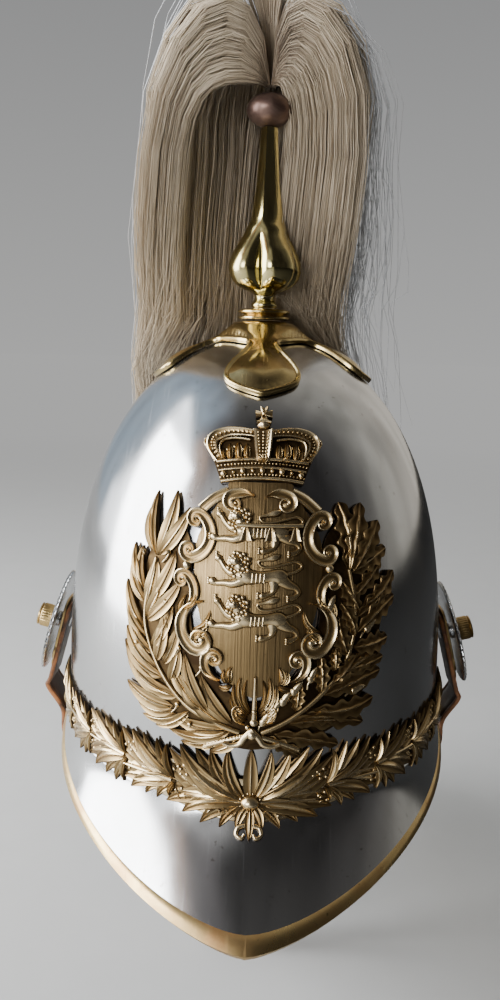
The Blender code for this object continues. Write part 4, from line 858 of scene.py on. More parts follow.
SHIELD_MIDDLE = 0.8
SHIELD_FIELD = ((0, 44), (8, 48), (15, 57), (20, 68), (24, 80), (26, 95), (25, 108), (19, 119), (13.5, 128),
                (12, 131.5), (0, 131.8))
SHIELD_METAL = 1.6
COIL_STEPS, ARC_STEPS = 20, 12  # of a scroll's line
SIDE_SPRAY = (  # tip, root, bow
    ((18.6, 80.4), (26.2, 70.5), 0.22), ((19.4, 76.6), (26.6, 67.8), 0.20),
    ((20.6, 73.2), (26.4, 66.0), 0.18), ((28.6, 84.4), (30.6, 74.0), -0.14),
    ((24.8, 87.0), (29.4, 79.0), 0.18))
FOOT_SPRAY = (  # tip, root, half-width
    ((8.9, 57.6), (9.6, 50.0), 1.5), ((12.2, 56.0), (10.6, 50.0), 1.3), ((14.8, 48.8), (9.0, 49.6), 1.3),
    ((5.2, 54.2), (1.6, 37.6), 1.5), ((8.2, 50.6), (2.2, 36.8), 1.5), ((9.4, 45.6), (2.6, 35.8), 1.4),
    ((8.6, 41.2), (2.6, 34.8), 1.2), ((2.6, 53.0), (0.8, 38.0), 1.0))
CHANNEL_SECTION = ((-1.0, 0.45), (-0.92, 0.9), (-0.74, 1.0), (-0.55, 0.72), (-0.25, 0.42), (0.0, 0.36),
                   (0.25, 0.42), (0.55, 0.72), (0.74, 1.0), (0.92, 0.9), (1.0, 0.45), (0.95, -1),
                   (-0.95, -1))
LION_LINES = (  # points (along, up, half-width) of each limb, in millimetres from the middle of the body
    ((-8.8, 1.4, 2.6), (-5.0, 0.6, 3.3), (-0.6, 0.4, 2.5), (3.8, 0.8, 2.5), (7.8, 0.8, 3.2),
     (10.4, 0.2, 2.0)),
    ((-7.6, 2.6, 2.0), (-11.0, 1.7, 1.6), (-13.4, 3.4, 1.35), (-15.4, 6.2, 1.2), (-16.4, 7.4, 1.6),
     (-16.9, 8.4, 0.8)),
    ((-6.4, -0.8, 2.1), (-10.2, -2.4, 1.8), (-13.6, -2.3, 1.4), (-16.8, -2.6, 1.2), (-18.6, -2.0, 1.7),
     (-19.8, -1.7, 0.8)),
    ((8.4, -0.4, 2.8), (11.2, -2.4, 2.0), (14.2, -3.8, 1.3), (15.4, -5.8, 1.05), (13.8, -7.4, 1.3),
     (11.8, -7.9, 1.5)),
    ((5.6, -1.0, 2.5), (5.6, -3.8, 1.7), (4.8, -5.6, 1.15), (2.6, -6.6, 1.2), (0.8, -6.8, 1.5),
     (0.0, -6.5, 0.8)),
    ((9.6, 1.6, 0.8), (13.8, 2.6, 0.75), (16.4, 4.6, 0.7), (14.0, 6.6, 0.7), (9.4, 5.6, 0.7), (5.0, 4.6, 0.7),
     (0.8, 4.6, 0.7), (-0.6, 6.6, 0.7), (2.6, 7.6, 0.9), (5.6, 8.4, 1.5), (7.6, 9.0, 0.7)),
    ((-6.8, 2.0, 2.2), (-8.0, 4.4, 2.8), (-9.0, 6.6, 2.8), (-10.6, 7.0, 2.2), (-12.0, 6.0, 1.4),
     (-12.6, 5.6, 0.9)))


def curl_line(start, end, bend, first=(0.0, 1.0), last=(0.0, 1.0), tighten=1.35):
    """The middle line of a scroll: its ends, the bend between them and the (turn, radius) of each coil."""
    wanted = math.dist(start, end)
    best = None
    for middle in np.linspace(0.15, 4.0, 120) * wanted:
        coils = []
        for (turn, radius), back in ((first, True), (last, False)):
            count = COIL_STEPS if turn else 0
            part = (np.arange(count) + 0.5) / max(count, 1)
            size = np.exp(-tighten * (1 - part if back else part))
            step = turn / max(count, 1)
            coils.append((np.full(count, step), abs(step) * radius * size, size))
        arc = [np.full(ARC_STEPS, value) for value in (bend / ARC_STEPS, middle / ARC_STEPS, 1.0)]
        turns, steps, share = (np.concatenate(pieces) for pieces in zip(coils[0], arc, coils[1]))
        heading = np.cumsum(turns)
        moves = steps[:, None] * np.stack([np.cos(heading), np.sin(heading)], -1)
        line = np.concatenate([np.zeros((1, 2)), np.cumsum(moves, axis=0)])
        miss = abs(np.hypot(*line[-1]) - wanted)
        if best is None or miss < best[0]:
            best = (miss, line, np.concatenate([share[:1], share]))
    _, line, share = best
    turn = math.atan2(end[1] - start[1], end[0] - start[0]) - math.atan2(line[-1, 1], line[-1, 0])
    spin = np.array([[math.cos(turn), math.sin(turn)], [-math.sin(turn), math.cos(turn)]])
    return np.array(start) + line @ spin, share


def scroll(bm, side, start, end, bend, first=(0.0, 1.0), last=(0.0, 1.0), half=1.5, base=1.0, rise=1.5,
           swell=0.0):
    """A scroll drawn for the right side and mirrored for the left, with a bead in the eye of each coil."""
    line, share = curl_line(start, end, bend, first, last)
    s = np.linspace(0, 1, len(line))
    wide = half * share ** 0.55 * (1 + swell * np.sin(math.pi * s))
    if not first[0]:
        wide = wide * np.clip(0.15 + s / 0.22, 0, 1)
    if not last[0]:
        wide = wide * np.clip(0.15 + (1 - s) / 0.22, 0, 1)
    line = line * (side, 1)
    strip(bm, line, wide, CHANNEL_SECTION, base, rise)
    for coil, eye in ((first, line[0]), (last, line[-1])):
        if coil[0]:
            berry(bm, eye[0], eye[1], 0.34 * coil[1], base + 0.5)


def lion(bm, across, up):
    """A walking lion, its head turned to the front and its tail laid over its back."""
    for number, limb in enumerate(LION_LINES):
        points = smooth_through(np.array(limb), 5 * len(limb))
        tall = 2.3 if number in (0, 6) else 1.7
        strip(bm, points[:, :2] + (across, up), points[:, 2], STEM_SECTION, 0.25 + SHIELD_METAL,
              tall * (points[:, 2] / points[:, 2].max()) ** 0.5)
    for step in range(30):
        turn = step * SPIRAL_TURN
        out = 0.60 * step ** 0.5 + 1.0
        berry(bm, across - 8.2 + out * math.cos(turn), up + 5.2 + 1.2 * out * math.sin(turn), 1.0,
              SHIELD_METAL + 1.5 + 0.25 * (step % 3))
    berry(bm, across - 9.6, up + 6.6, 2.0, SHIELD_METAL + 2.4)
    berry(bm, across - 11.0, up + 5.6, 1.1, SHIELD_METAL + 2.8)
    for mark in (-10.7, -9.2):
        berry(bm, across + mark, up + 7.5, 0.5, SHIELD_METAL + 4.2)
    for toes in ((-16.6, 8.6), (-19.6, -1.9), (11.4, -8.0), (-0.2, -6.8)):
        for shift in (-0.9, 0, 0.9):
            berry(bm, across + toes[0] - 0.4, up + toes[1] + shift, 0.7, SHIELD_METAL + 1.0)
    for rib in (-3.0, -1.5, 0, 1.5):
        bar = np.array([(across + rib, up - 1.6), (across + rib + 0.3, up + 1.9)])
        strip(bm, smooth_through(bar, 4), 0.34, STEM_SECTION, SHIELD_METAL + 1.9, 0.7)


field_bm = new_relief()
right_side = smooth_through(SHIELD_FIELD, 44)
outline = np.concatenate([right_side, right_side[-2:0:-1] * (-1, 1)])
ground_plate(field_bm, outline + (SHIELD_MIDDLE, 0), SHIELD_METAL - 0.5, cell=4.0, dome=0.9)
lay(field_bm, on_front)
field = make_piece("shield_field", field_bm, struck_brass("ruled_brass", lined=True), sharp=38)

bm = new_relief()
for side in (-1, 1):
    scroll(bm, side, (2.4, 125.6), (11, 122.8), -1.1, last=(-7.2, 3.2),
           half=1.9, base=1.6, rise=1.6, swell=0.25)
    bar = smooth_through(on_side(side, ((12.5, 127.4), (18, 124.4), (23.6, 119.2))), 12)
    strip(bm, bar, 2.2, CHANNEL_SECTION, 1.0, 1.3)
    scroll(bm, side, (25.6, 115.6), (28.4, 101.6), 2.2, (7.4, 3.6), (7.0, 3.4),
           half=1.9, base=1.4, rise=1.7, swell=0.3)
    scroll(bm, side, (30.4, 91.0), (29.6, 78.4), 1.9, (7.2, 3.4),
           half=1.8, base=1.4, rise=1.6, swell=0.2)
    berry(bm, side * 28.6, 96.2, 1.9, 2.2)
    scroll(bm, side, (21.4, 82.6), (21.6, 66.8), -2.5, last=(-8.4, 4.4),
           half=2.1, base=1.6, rise=1.7, swell=0.35)
    scroll(bm, side, (13.8, 51.6), (16.2, 60.6), 1.9, last=(7.8, 3.4),
           half=1.7, base=1.5, rise=1.6, swell=0.2)
    for tip, root, bow in SIDE_SPRAY:
        leaf(bm, (side * root[0], root[1]), (side * tip[0], tip[1]), 1.35, base=1.9, rise=1.2,
             bow=side * bow)
    for tip, root, half in FOOT_SPRAY:
        leaf(bm, (side * root[0], root[1]), (side * tip[0], tip[1]), half, base=1.9, rise=1.3,
             bow=side * -0.16)
    scroll(bm, side, (3.6, 33.8), (6.4, 39.6), 1.6, last=(6.6, 1.8), half=1.1, base=1.8, rise=1.3)
rod = smooth_through([(0, 33.5), (0, 44), (0, 53.4)], 10)
strip(bm, rod, np.linspace(1.3, 0.5, 10), STEM_SECTION, 1.9, 1.5)
berry(bm, 0, 34.6, 1.8, 2.4)
berry(bm, 0, 39.4, 1.1, 3.2)
for up in (76.0, 93.0, 110.6):
    lion(bm, 0.6, up)
bar = np.array([(-8.5, 113.6), (16.5, 113.6)])
strip(bm, smooth_through(bar, 8), 0.85, STEM_SECTION, SHIELD_METAL + 2.4, 1.3)
for across in (-5.0, 4.4, 13.8):
    drop = np.array([(across, 112.6), (across, 107.6)])
    strip(bm, smooth_through(drop, 6), np.linspace(0.9, 2.6, 6), CHANNEL_SECTION, SHIELD_METAL + 2.2, 1.2)
bmesh.ops.translate(bm, vec=(SHIELD_MIDDLE, 0, 0), verts=bm.verts)
lay(bm, on_front)
charges = make_piece("shield_frame_and_lions", bm, STRUCK_BRASS, sharp=STRUCK_SHARP)
for piece in (field, charges):
    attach(piece, "root")
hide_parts("shield")

# Crown
# A closed crown with three arches and a cross over a jewelled foot, struck in brass with its pearls raised
# from behind. It is a badge of its own above the shield.

CROWN_MIDDLE = 1.3
CROWN_DROP = 2.0
CROWN_NARROW = 0.95
CROWN_OUTLINE = ((17.6, 132.6), (19.0, 137), (21.4, 142.5), (25.6, 149.6), (23.5, 153.4), (17.5, 156.6),
                 (10.5, 157.6), (4.4, 156.6), (3.0, 158.4), (0, 159.5))
CROWN_ARCH = ((18.2, 142.4), (21.6, 147.4), (21.2, 152.0), (15.4, 155.0), (8.6, 155.4), (3.2, 154.6))
CROWN_ARCH_INSIDE = ((17.2, 143.0), (18.4, 148.0), (16.8, 151.2), (11.6, 152.4), (5.6, 151.8))
CROWN_ARCH_EDGE = ((20.2, 141.8), (23.0, 146.2), (25.4, 150.0), (22.6, 153.6), (16.6, 156.4), (10.2, 157.2),
                   (4.6, 156.4))


def crown_arc(count, half, height, sag=2.0):
    across = np.linspace(-half, half, count)
    return np.stack([across, height + sag * (1 - (across / half) ** 2)], -1)


bm = new_relief()
side_line = smooth_through(CROWN_OUTLINE, 34)
foot = crown_arc(9, 17.6, 132.6)[1:-1, :]
outline = np.concatenate([side_line, side_line[-2::-1] * (-1, 1), foot])
ground_plate(bm, outline, 1.2, cell=3.0)
for half, height, wide, rise in ((17.4, 133.4, 0.75, 1.5), (18.6, 138.0, 0.55, 1.1),
                                 (19.6, 141.6, 0.75, 1.5)):
    line = crown_arc(30, half, height)
    strip(bm, line, wide * (1 + 0.12 * np.cos(np.arange(30) * math.pi)), STEM_SECTION, 1.2, rise)
for half, height, count in ((17.6, 135.0, 25), (18.8, 139.8, 27)):
    for across, up in crown_arc(count, half, height):
        berry(bm, across, up, 0.55, 1.9)
for number, (across, up) in enumerate(crown_arc(9, 16.4, 136.6)):
    jewel = 0.9 if number % 2 else 1.25
    made = bmesh.ops.create_icosphere(bm, subdivisions=1 if number % 2 else 2, radius=jewel,
                                      matrix=Matrix.Translation((across, up, 1.8)))["verts"]
    for vert in made:
        vert[bm.verts.layers.float["wear_and_painted_light"]] = 0.8
for side in (-1, 1):
    arch = smooth_through(on_side(side, CROWN_ARCH), 36)
    wide = np.interp(np.linspace(0, 1, 36), (0, 0.25, 0.5, 1), (1.6, 2.6, 2.5, 1.6))
    strip(bm, arch, wide, CHANNEL_SECTION, 1.6, 1.7)
    for across, up in arch[2:-1:2]:
        berry(bm, across, up, 0.62, 2.9)
    rim = smooth_through(on_side(side, CROWN_ARCH_INSIDE), 26)
    strip(bm, rim, 0.5, STEM_SECTION, 1.6, 1.6)
    edge = smooth_through(on_side(side, CROWN_ARCH_EDGE), 30)
    strip(bm, edge, 0.5, STEM_SECTION, 1.4, 1.4)
    for across, up in edge[1:-1:2]:
        berry(bm, across, up, 0.5, 2.6)
    for across, tip, half in ((6.6, 150.8, 1.5), (10.2, 151.4, 1.7), (13.8, 150.4, 1.6), (16.4, 148.2, 1.1)):
        leaf(bm, (side * across, 142.4), (side * across * 1.03, tip), half, base=1.7, rise=1.8)
    for across, up in ((8.4, 147.6), (12.1, 148.4), (15.2, 147.0), (7.6, 145.0), (11.6, 145.2)):
        berry(bm, side * across, up, 0.7, 2.2)
    for foot_across in (9.6, 17.4):
        for tip in ((-1.9, 2.4), (0, 3.4), (1.9, 2.4)):
            end = (side * foot_across + tip[0], 142.4 + tip[1])
            leaf(bm, (side * foot_across, 142.2), end, 0.9, base=2.0, rise=1.2)
middle_arch = smooth_through([(0, 142.2), (0, 148), (0, 156.6)], 14)
strip(bm, middle_arch, np.linspace(2.6, 4.6, 14), CHANNEL_SECTION, 1.9, 1.9)
for column in (-1, 0, 1):
    for step in range(8):
        berry(bm, column * (1.1 + 0.16 * step), 145.0 + 1.45 * step, 0.62, 3.2)
for tip in ((-3.0, 4.2), (0, 5.4), (3.0, 4.2)):
    leaf(bm, (0, 141.6), (tip[0], 141.8 + tip[1]), 1.3, base=2.8, rise=1.2)
berry(bm, 0, 159.4, 2.9, 2.2)
strip(bm, crown_arc(9, 2.9, 159.2, 0.3), 0.5, STEM_SECTION, 3.6, 1.7)
for way in ((0, 1), (1, 0), (-1, 0)):
    arm_line = np.array([0, 164.4]) + np.linspace(-0.3, 3.6, 7)[:, None] * np.array(way)
    strip(bm, arm_line, np.linspace(0.7, 1.9, 7), CHANNEL_SECTION, 1.4, 1.6)
foot_line = np.array([0, 161.8]) + np.linspace(0, 2.4, 4)[:, None] * np.array([0, 1])
strip(bm, foot_line, np.linspace(1.5, 0.8, 4), CHANNEL_SECTION, 1.4, 1.6)
berry(bm, 0, 164.4, 1.0, 2.7)
bmesh.ops.scale(bm, vec=(CROWN_NARROW, 1, 1), verts=bm.verts)
bmesh.ops.translate(bm, vec=(CROWN_MIDDLE, -CROWN_DROP, 0), verts=bm.verts)
lay(bm, on_front)
crown = make_piece("pearled_crown", bm, STRUCK_BRASS, sharp=STRUCK_SHARP)
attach(crown, "root")
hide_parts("crown")

# Plume base
# One brass casting lies on the crown of the skull: four spade-shaped arms round a low cone, each domed and
# outlined by a bead. It is held by a nut inside the skull and polished until its bead shines.

BASE_METAL = 1.4 * MM
ARM_REACH_FRONT = 74 * MM
ARM_REACH_SIDE = 60 * MM
ARM_HALF_WIDTH = 18 * MM
ARM_DOME = 1.7 * MM
DOME_EDGE, CONE_EDGE = 4.2 * MM, 1.5 * MM  # from the edge to where the dome and the cone have risen
HUB_RADIUS = 30 * MM
CONE_TOP_RADIUS = 13.5 * MM
CONE_RISE = 7.5 * MM
BASE_CELL = 1.6 * MM
ARM_OUTLINE = (  # share of the reach, share of the half-width
    (1.0, 0.0), (0.985, 0.14), (0.963, 0.36), (0.93, 0.60), (0.896, 0.78), (0.86, 0.92), (0.82, 1.0),
    (0.76, 0.99), (0.70, 0.90), (0.64, 0.77), (0.58, 0.62), (0.51, 0.49), (0.44, 0.39), (0.38, 0.38),
    (0.345, 0.46), (0.33, 0.60))
BEAD_STEPS = (  # inset, height
    (0.0, 1.1), (0.15, 1.7), (0.45, 2.2), (0.9, 2.45), (1.35, 2.25), (1.75, 1.7), (2.1, 1.3), (2.7, 1.3),
    (3.5, 1.5))
OUTLINE_POINTS = 420


def row_interp(target, known, values):
    """Looks up each target in its own row of rising known numbers."""
    at = np.clip((known < target[:, None]).sum(axis=1) - 1, 0, known.shape[1] - 2)
    rows = np.arange(len(target))
    part = (target - known[rows, at]) / np.maximum(known[rows, at + 1] - known[rows, at], 1e-12)
    return values[at] + (values[at + 1] - values[at]) * part


def on_top(across, back):
    """Places on the dome: distances over it from its highest point, to the side and to the back."""
    distance = np.hypot(across, back)
    shown = np.where(distance > 0, distance, 1)
    side, rear = across / shown, np.where(distance > 0, back / shown, 1)
    radius = 1 / np.hypot(side / SKULL_HALF_WIDTH, rear / SKULL_HALF_LENGTH)
    steps = np.hypot(np.diff(CLIMB)[None], radius[:, None] * np.diff(SHARES)[None])
    climbed = np.concatenate([np.zeros((len(radius), 1)), np.cumsum(steps, axis=1)], axis=1)
    height = row_interp(climbed[:, -1] - distance, climbed, CLIMB)
    share = dome_share(height)
    return np.stack([side * radius * share, rear * radius * share, height], -1)


BASE_BRASS = polished_brass("base_brass", 0.16, (0.62, 0.48, 0.22, 1), (0.36, 0.24, 0.10, 1), 0.5, 0.5)

outline = []
for quarter, reach in enumerate((ARM_REACH_FRONT, ARM_REACH_SIDE, ARM_REACH_FRONT, ARM_REACH_SIDE)):
    turn = quarter * math.pi / 2
    out, beside = np.array([math.sin(turn), -math.cos(turn)]), np.array([math.cos(turn), math.sin(turn)])
    for side, stations in ((-1, ARM_OUTLINE[::-1]), (1, ARM_OUTLINE[1:])):
        outline += [out * reach * along + beside * side * ARM_HALF_WIDTH * wide for along, wide in stations]


def even_loop(points, count):
    """Points evenly spaced round a closed outline."""
    closed = np.concatenate([points, points[:1]])
    lengths = np.concatenate([[0], np.cumsum(np.linalg.norm(np.diff(closed, axis=0), axis=1))])
    at = np.linspace(0, lengths[-1], count + 1)[:-1]
    return np.stack([np.interp(at, lengths, closed[:, axis]) for axis in (0, 1)], -1)


def eased(values, rounds):
    """Each value of a closed row, drawn towards the two beside it."""
    for _ in range(rounds):
        values = 0.5 * values + 0.25 * (np.roll(values, 1, axis=0) + np.roll(values, -1, axis=0))
    return values


outline = eased(even_loop(smooth_through(outline + outline[:1], 900)[:-1], OUTLINE_POINTS), 6)
after, before = np.roll(outline, -1, axis=0), np.roll(outline, 1, axis=0)
way = after - before
way /= np.linalg.norm(way, axis=1)[:, None]
inward = np.stack([-way[:, 1], way[:, 0]], -1)
if (inward * outline).sum() > 0:
    inward = -inward
curve = after - 2 * outline + before
bend = np.linalg.norm(curve, axis=1)
pitch = np.linalg.norm(after - outline, axis=1)
hollow = (curve * inward).sum(axis=1)

# Where the outline bends inwards, the bead keeps to the room inside the bend.
room = np.where(hollow > 0, 0.7 * pitch ** 2 / np.maximum(bend, 1e-12), 1.0)
for _ in range(3):
    room = np.minimum(room, np.minimum(np.roll(room, 1), np.roll(room, -1)))
bead_width = BEAD_STEPS[-1][0] * MM
room = np.minimum(eased(room, 8), bead_width) / bead_width

bm = bmesh.new()
face = bm.faces.new([bm.verts.new((x, y, 0)) for x, y in outline])
made = bmesh.ops.extrude_face_region(bm, geom=[face])["geom"]
top = next(item for item in made if isinstance(item, bmesh.types.BMFace))
ring = outline
for inset, height in BEAD_STEPS:
    if inset:
        bmesh.ops.inset_region(bm, faces=[top], thickness=0.01 * MM, depth=0, use_even_offset=False,
                               use_boundary=True)
    moved = outline + inward * (room * inset * MM)[:, None]
    for vert in top.verts:
        at = int(np.hypot(ring[:, 0] - vert.co.x, ring[:, 1] - vert.co.y).argmin())
        vert.co = (*moved[at], height * MM)
    ring = moved
flat_top = BEAD_STEPS[-1][1] * MM
cut_in_cells(bm, BASE_CELL, outline.min(axis=0), outline.max(axis=0))
inner = [vert for vert in bm.verts if abs(vert.co.z - flat_top) < 1e-7]
flat = np.array([vert.co for vert in inner])
from_edge = np.full(len(flat), 1.0)
for a, b in zip(ring, np.roll(ring, -1, axis=0)):
    along = (b - a) / max(float(((b - a) ** 2).sum()), 1e-16)
    part = np.clip((flat[:, :2] - a) @ along, 0, 1)[:, None]
    from_edge = np.minimum(from_edge, np.linalg.norm(flat[:, :2] - a - (b - a) * part, axis=1))
radius = np.linalg.norm(flat[:, :2], axis=1)
dome = ARM_DOME * (1 - np.exp(-(from_edge / DOME_EDGE) ** 2)) * np.clip((radius - 12 * MM) / (30 * MM), 0, 1)
cone = (CONE_RISE - BASE_METAL) * np.clip((HUB_RADIUS - radius) / (HUB_RADIUS - CONE_TOP_RADIUS), 0, 1) ** 2.1
cone *= np.clip(from_edge / CONE_EDGE, 0, 1)
for vert, lift in zip(inner, dome + cone):
    vert.co.z += lift
bmesh.ops.triangulate(bm, faces=[face for face in bm.faces if len(face.verts) > 4])
bmesh.ops.recalc_face_normals(bm, faces=bm.faces)
lay(bm, on_top, unit=1.0)
base = make_piece("plume_arms", bm, BASE_BRASS, sharp=60)
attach(base, "root")
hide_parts("plume_base")

# Spike collar
# Two turned rings with a groove between them, screwed down over the base.

COLLAR_RADIUS = 13 * MM
COLLAR_HEIGHT = 5.5 * MM
COLLAR_FOOT = SKULL_HEIGHT + LAID_GAP + CONE_RISE * 1.02 + GAP
COLLAR_PROFILE = (  # radius share, height share
    (0.0, 0.0), (0.90, 0.0), (0.985, 0.05), (1.0, 0.14), (0.985, 0.24), (0.90, 0.31), (0.80, 0.36),
    (0.785, 0.42), (0.80, 0.48), (0.90, 0.50), (0.97, 0.56), (0.995, 0.66), (0.985, 0.78), (0.93, 0.87),
    (0.84, 0.93), (0.70, 0.97), (0.50, 1.0), (0.0, 1.0))
bm = spun([(COLLAR_RADIUS * r, COLLAR_HEIGHT * h) for r, h in COLLAR_PROFILE], 64)
bmesh.ops.translate(bm, vec=(0, 0, COLLAR_FOOT), verts=bm.verts)
collar = make_piece("collar_rings", bm, BASE_BRASS)
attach(collar, "root")
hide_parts("spike_collar")

# Spike
# A cast and polished finial: four swelling petals with a sharp crease between each two, drawn up into a
# slender stem whose four hollow faces meet in sharp edges. A screw through it holds the ball and the plume.

SPIKE_HEIGHT = 84.5 * MM
SPIKE_RADIUS = 18.8 * MM
SPIKE_FOOT = COLLAR_FOOT + COLLAR_HEIGHT + GAP
SPIKE_TURN = -0.27  # the front crease and edge stand a little to the left
SPIKE_SIDES = 96
SPIKE_SECTIONS = (  # height share, radius share, depth of the creases (above 0) or the hollow faces (below 0)
    (0.000, 0.33, 0.00), (0.020, 0.345, 0.00), (0.045, 0.27, 0.00), (0.068, 0.26, 0.00), (0.085, 0.36, 0.08),
    (0.105, 0.60, 0.24), (0.130, 0.80, 0.34), (0.165, 0.93, 0.36), (0.215, 1.00, 0.345), (0.260, 0.98, 0.33),
    (0.315, 0.88, 0.29), (0.370, 0.73, 0.20), (0.430, 0.57, 0.06), (0.500, 0.45, -0.10), (0.600, 0.37, -0.20),
    (0.700, 0.31, -0.23), (0.850, 0.26, -0.22), (1.000, 0.22, -0.20))
SPIKE_BRASS = polished_brass("spike_brass", 0.10, (0.60, 0.52, 0.25, 1), (0.34, 0.26, 0.10, 1), 0.35, 0.35)

sections = smooth_through(SPIKE_SECTIONS, 90)


def spike_place(up, around):
    at = np.rint(up * (len(sections) - 1)).astype(int)
    high, wide, deep = sections[at].T
    turn = math.tau * around
    between = np.abs(np.sin(2 * turn))
    crease, face = np.maximum(deep, 0) * (1 - between) ** 1.6, np.minimum(deep, 0) * between ** 0.8
    radius = SPIKE_RADIUS * wide * (1 - crease + face)
    turn = turn + SPIKE_TURN
    return np.stack([radius * np.sin(turn), -radius * np.cos(turn), SPIKE_FOOT + SPIKE_HEIGHT * high], -1)


bm = bmesh.new()
close_tube(bm, shaped_grid(bm, len(sections) - 1, SPIKE_SIDES, spike_place))
spike = make_piece("petal_spike", bm, SPIKE_BRASS, sharp=32)
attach(spike, "root")
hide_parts("plume_spike")

# Ball
# A flattened bronze ball, darkened and waxed, clamps the head of the plume on the spike.

BALL_RADIUS = 11.2 * MM
BALL_HEIGHT = 15 * MM
BALL_FOOT = SPIKE_FOOT + SPIKE_HEIGHT + GAP
BALL_FLAT = 0.30  # share of its radius that is flat below and above
first = math.asin(BALL_FLAT)
turns = np.linspace(first, math.pi - first, 25)
profile = [(0, 0)] + [(BALL_RADIUS * math.sin(turn), BALL_HEIGHT / 2 * (1 - math.cos(turn) / math.cos(first)))
                      for turn in turns] + [(0, BALL_HEIGHT)]
bm = spun(profile, 56)
bmesh.ops.translate(bm, vec=(0, 0, BALL_FOOT), verts=bm.verts)


def dark_bronze():
    """Brown bronze with a satin skin, mottled where handling has thinned the colour."""
    made, tree, shader = new_material("dark_bronze", 0.75)
    tarnish = placed(tree, TARNISH, Scale=110.0).outputs
    tone = mixed(tree, tarnish["Clouds"], (0.105, 0.062, 0.050, 1), (0.20, 0.13, 0.10, 1))
    rough = spread(tree, tarnish["Clouds"], 0, 1, 0.34, 0.46)
    lead_in(tree, shader, tone, rough, tarnish["Clouds"], 0.2, 0.1 * MM)
    return made


ball = make_piece("bronze_ball", bm, dark_bronze(), sharp=60)
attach(ball, "root")
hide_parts("plume_ball")

# Plume
# Several thousand horsehairs, drawn, bound at the head and clamped under the ball. They rise from the ball,
# arch over, part in front and fall round the sides and the back of the skull, loose at their ends.

PLUME_FOOT = BALL_FOOT + BALL_HEIGHT + GAP
PLUME_RISE = 56 * MM
PLUME_REACH_SIDE = 57 * MM
PLUME_REACH_BACK = 52 * MM
PLUME_END = 28 * MM
PLUME_THICKNESS = 13 * MM
PLUME_SKULL_CLEARANCE = 5.5 * MM
FIRST_TURN = math.radians(62)
LOCK_FALL_SHARE = 0.56
LOCK_END_SHARE = 0.62
ARCH_STATIONS = (0.0, 0.12, 0.25, 0.38, 0.52, 0.67, 0.83, 1.0)
FALL_SHARES = (0.16, 0.31, 0.46, 0.61, 0.79, 1.0)
LEAN_ABOVE, LEAN_BELOW = 4 * MM, 12.5 * MM  # the hair hangs to the left of the leaning helmet
HAIR_RINGS = len(ARCH_STATIONS) + len(FALL_SHARES)
HAIR_TIP = (0.85, 0.6, 0.2)  # how much of its thickness a hair has at its last rings
HAIR_APART = 4  # between the copies of the one hair, until each is laid along its line
CLUMPS = 210
draw = np.random.default_rng(11)


def hair_reach(turn, height):
    """How far out the middle of the hair lies over the dome at a height."""
    off = PLUME_THICKNESS / 2 + PLUME_SKULL_CLEARANCE
    radius = 1 / np.hypot(np.sin(turn) / (SKULL_HALF_WIDTH + off), np.cos(turn) / (SKULL_HALF_LENGTH + off))
    return radius * dome_share(height * SKULL_HEIGHT / (SKULL_HEIGHT + off))


def hair_lines(turn, lift, reach_by, end, fall=None, swing_first=0.0, lean=1.0, end_share=LOCK_END_SHARE,
               gather=1.0):
    """Lines of hair (hair, ring, place) and the way each faces: its arch's height, its reach and its end."""
    mirrored = turn > math.pi
    turn = np.where(mirrored, math.tau - turn, turn)
    if fall is None:
        fall = math.pi - (math.pi - turn) * LOCK_FALL_SHARE
    last = math.pi - (math.pi - fall) * end_share
    reach = np.hypot(PLUME_REACH_SIDE * np.sin(fall), PLUME_REACH_BACK * np.cos(fall)) * reach_by
    foot = PLUME_FOOT + 3 * MM
    steep = np.clip(0.58 - 0.62 * lift, 0.12, 0.6)
    rings = []
    for t in ARCH_STATIONS:
        near, middle, far, last_part = (1 - t) ** 3, 3 * (1 - t) ** 2 * t, 3 * (1 - t) * t ** 2, t ** 3
        out = reach * (0.05 * near + (0.05 + steep) * middle + 0.97 * far + last_part)
        high = PLUME_RISE * (1.95 * lift * middle + 0.75 * lift * far - 0.55 * last_part)
        swing = t ** 1.5 * (1 - swing_first) + math.sin(math.pi / 2 * t) ** 0.7 * swing_first
        rings.append((turn + (fall - turn) * swing, out, foot + high))
    top = rings[-1][2]
    for share in FALL_SHARES:
        share = share ** gather
        height = top + (PLUME_END - top) * share * end
        way = fall + (last - fall) * np.clip((share * end - 0.12) / 0.38, 0, 1) ** 1.2
        rings.append((way, (reach ** 6 + hair_reach(way, height) ** 6) ** (1 / 6), height))
    lines = np.stack([np.stack([out * np.sin(way), -out * np.cos(way), height], -1)
                      for way, out, height in rings], 1)
    lines[mirrored, :, 0] *= -1
    height = lines[..., 2]
    shift = LEAN_ABOVE + (LEAN_BELOW - LEAN_ABOVE) * np.clip((318 * MM - height) / (110 * MM), 0, 1)
    shift *= np.clip((height - 120 * MM) / (50 * MM), 0, 1)
    lines[..., 0] -= lean * shift * np.clip(np.linspace(0, 3, HAIR_RINGS), 0, 1)
    ways = np.stack([way for way, _, _ in rings], 1)
    ways[mirrored] = math.tau - ways[mirrored]
    return lines, ways


def line_frames(lines, ways):
    """At each ring of each line, the way beside it and the way out of the plume."""
    along = np.gradient(lines, axis=1)
    along /= np.linalg.norm(along, axis=2)[..., None]
    beside = np.stack([np.cos(ways), np.sin(ways), np.zeros_like(ways)], -1)
    outward = np.cross(beside, along)
    outward /= np.linalg.norm(outward, axis=2)[..., None]
    return beside, -outward


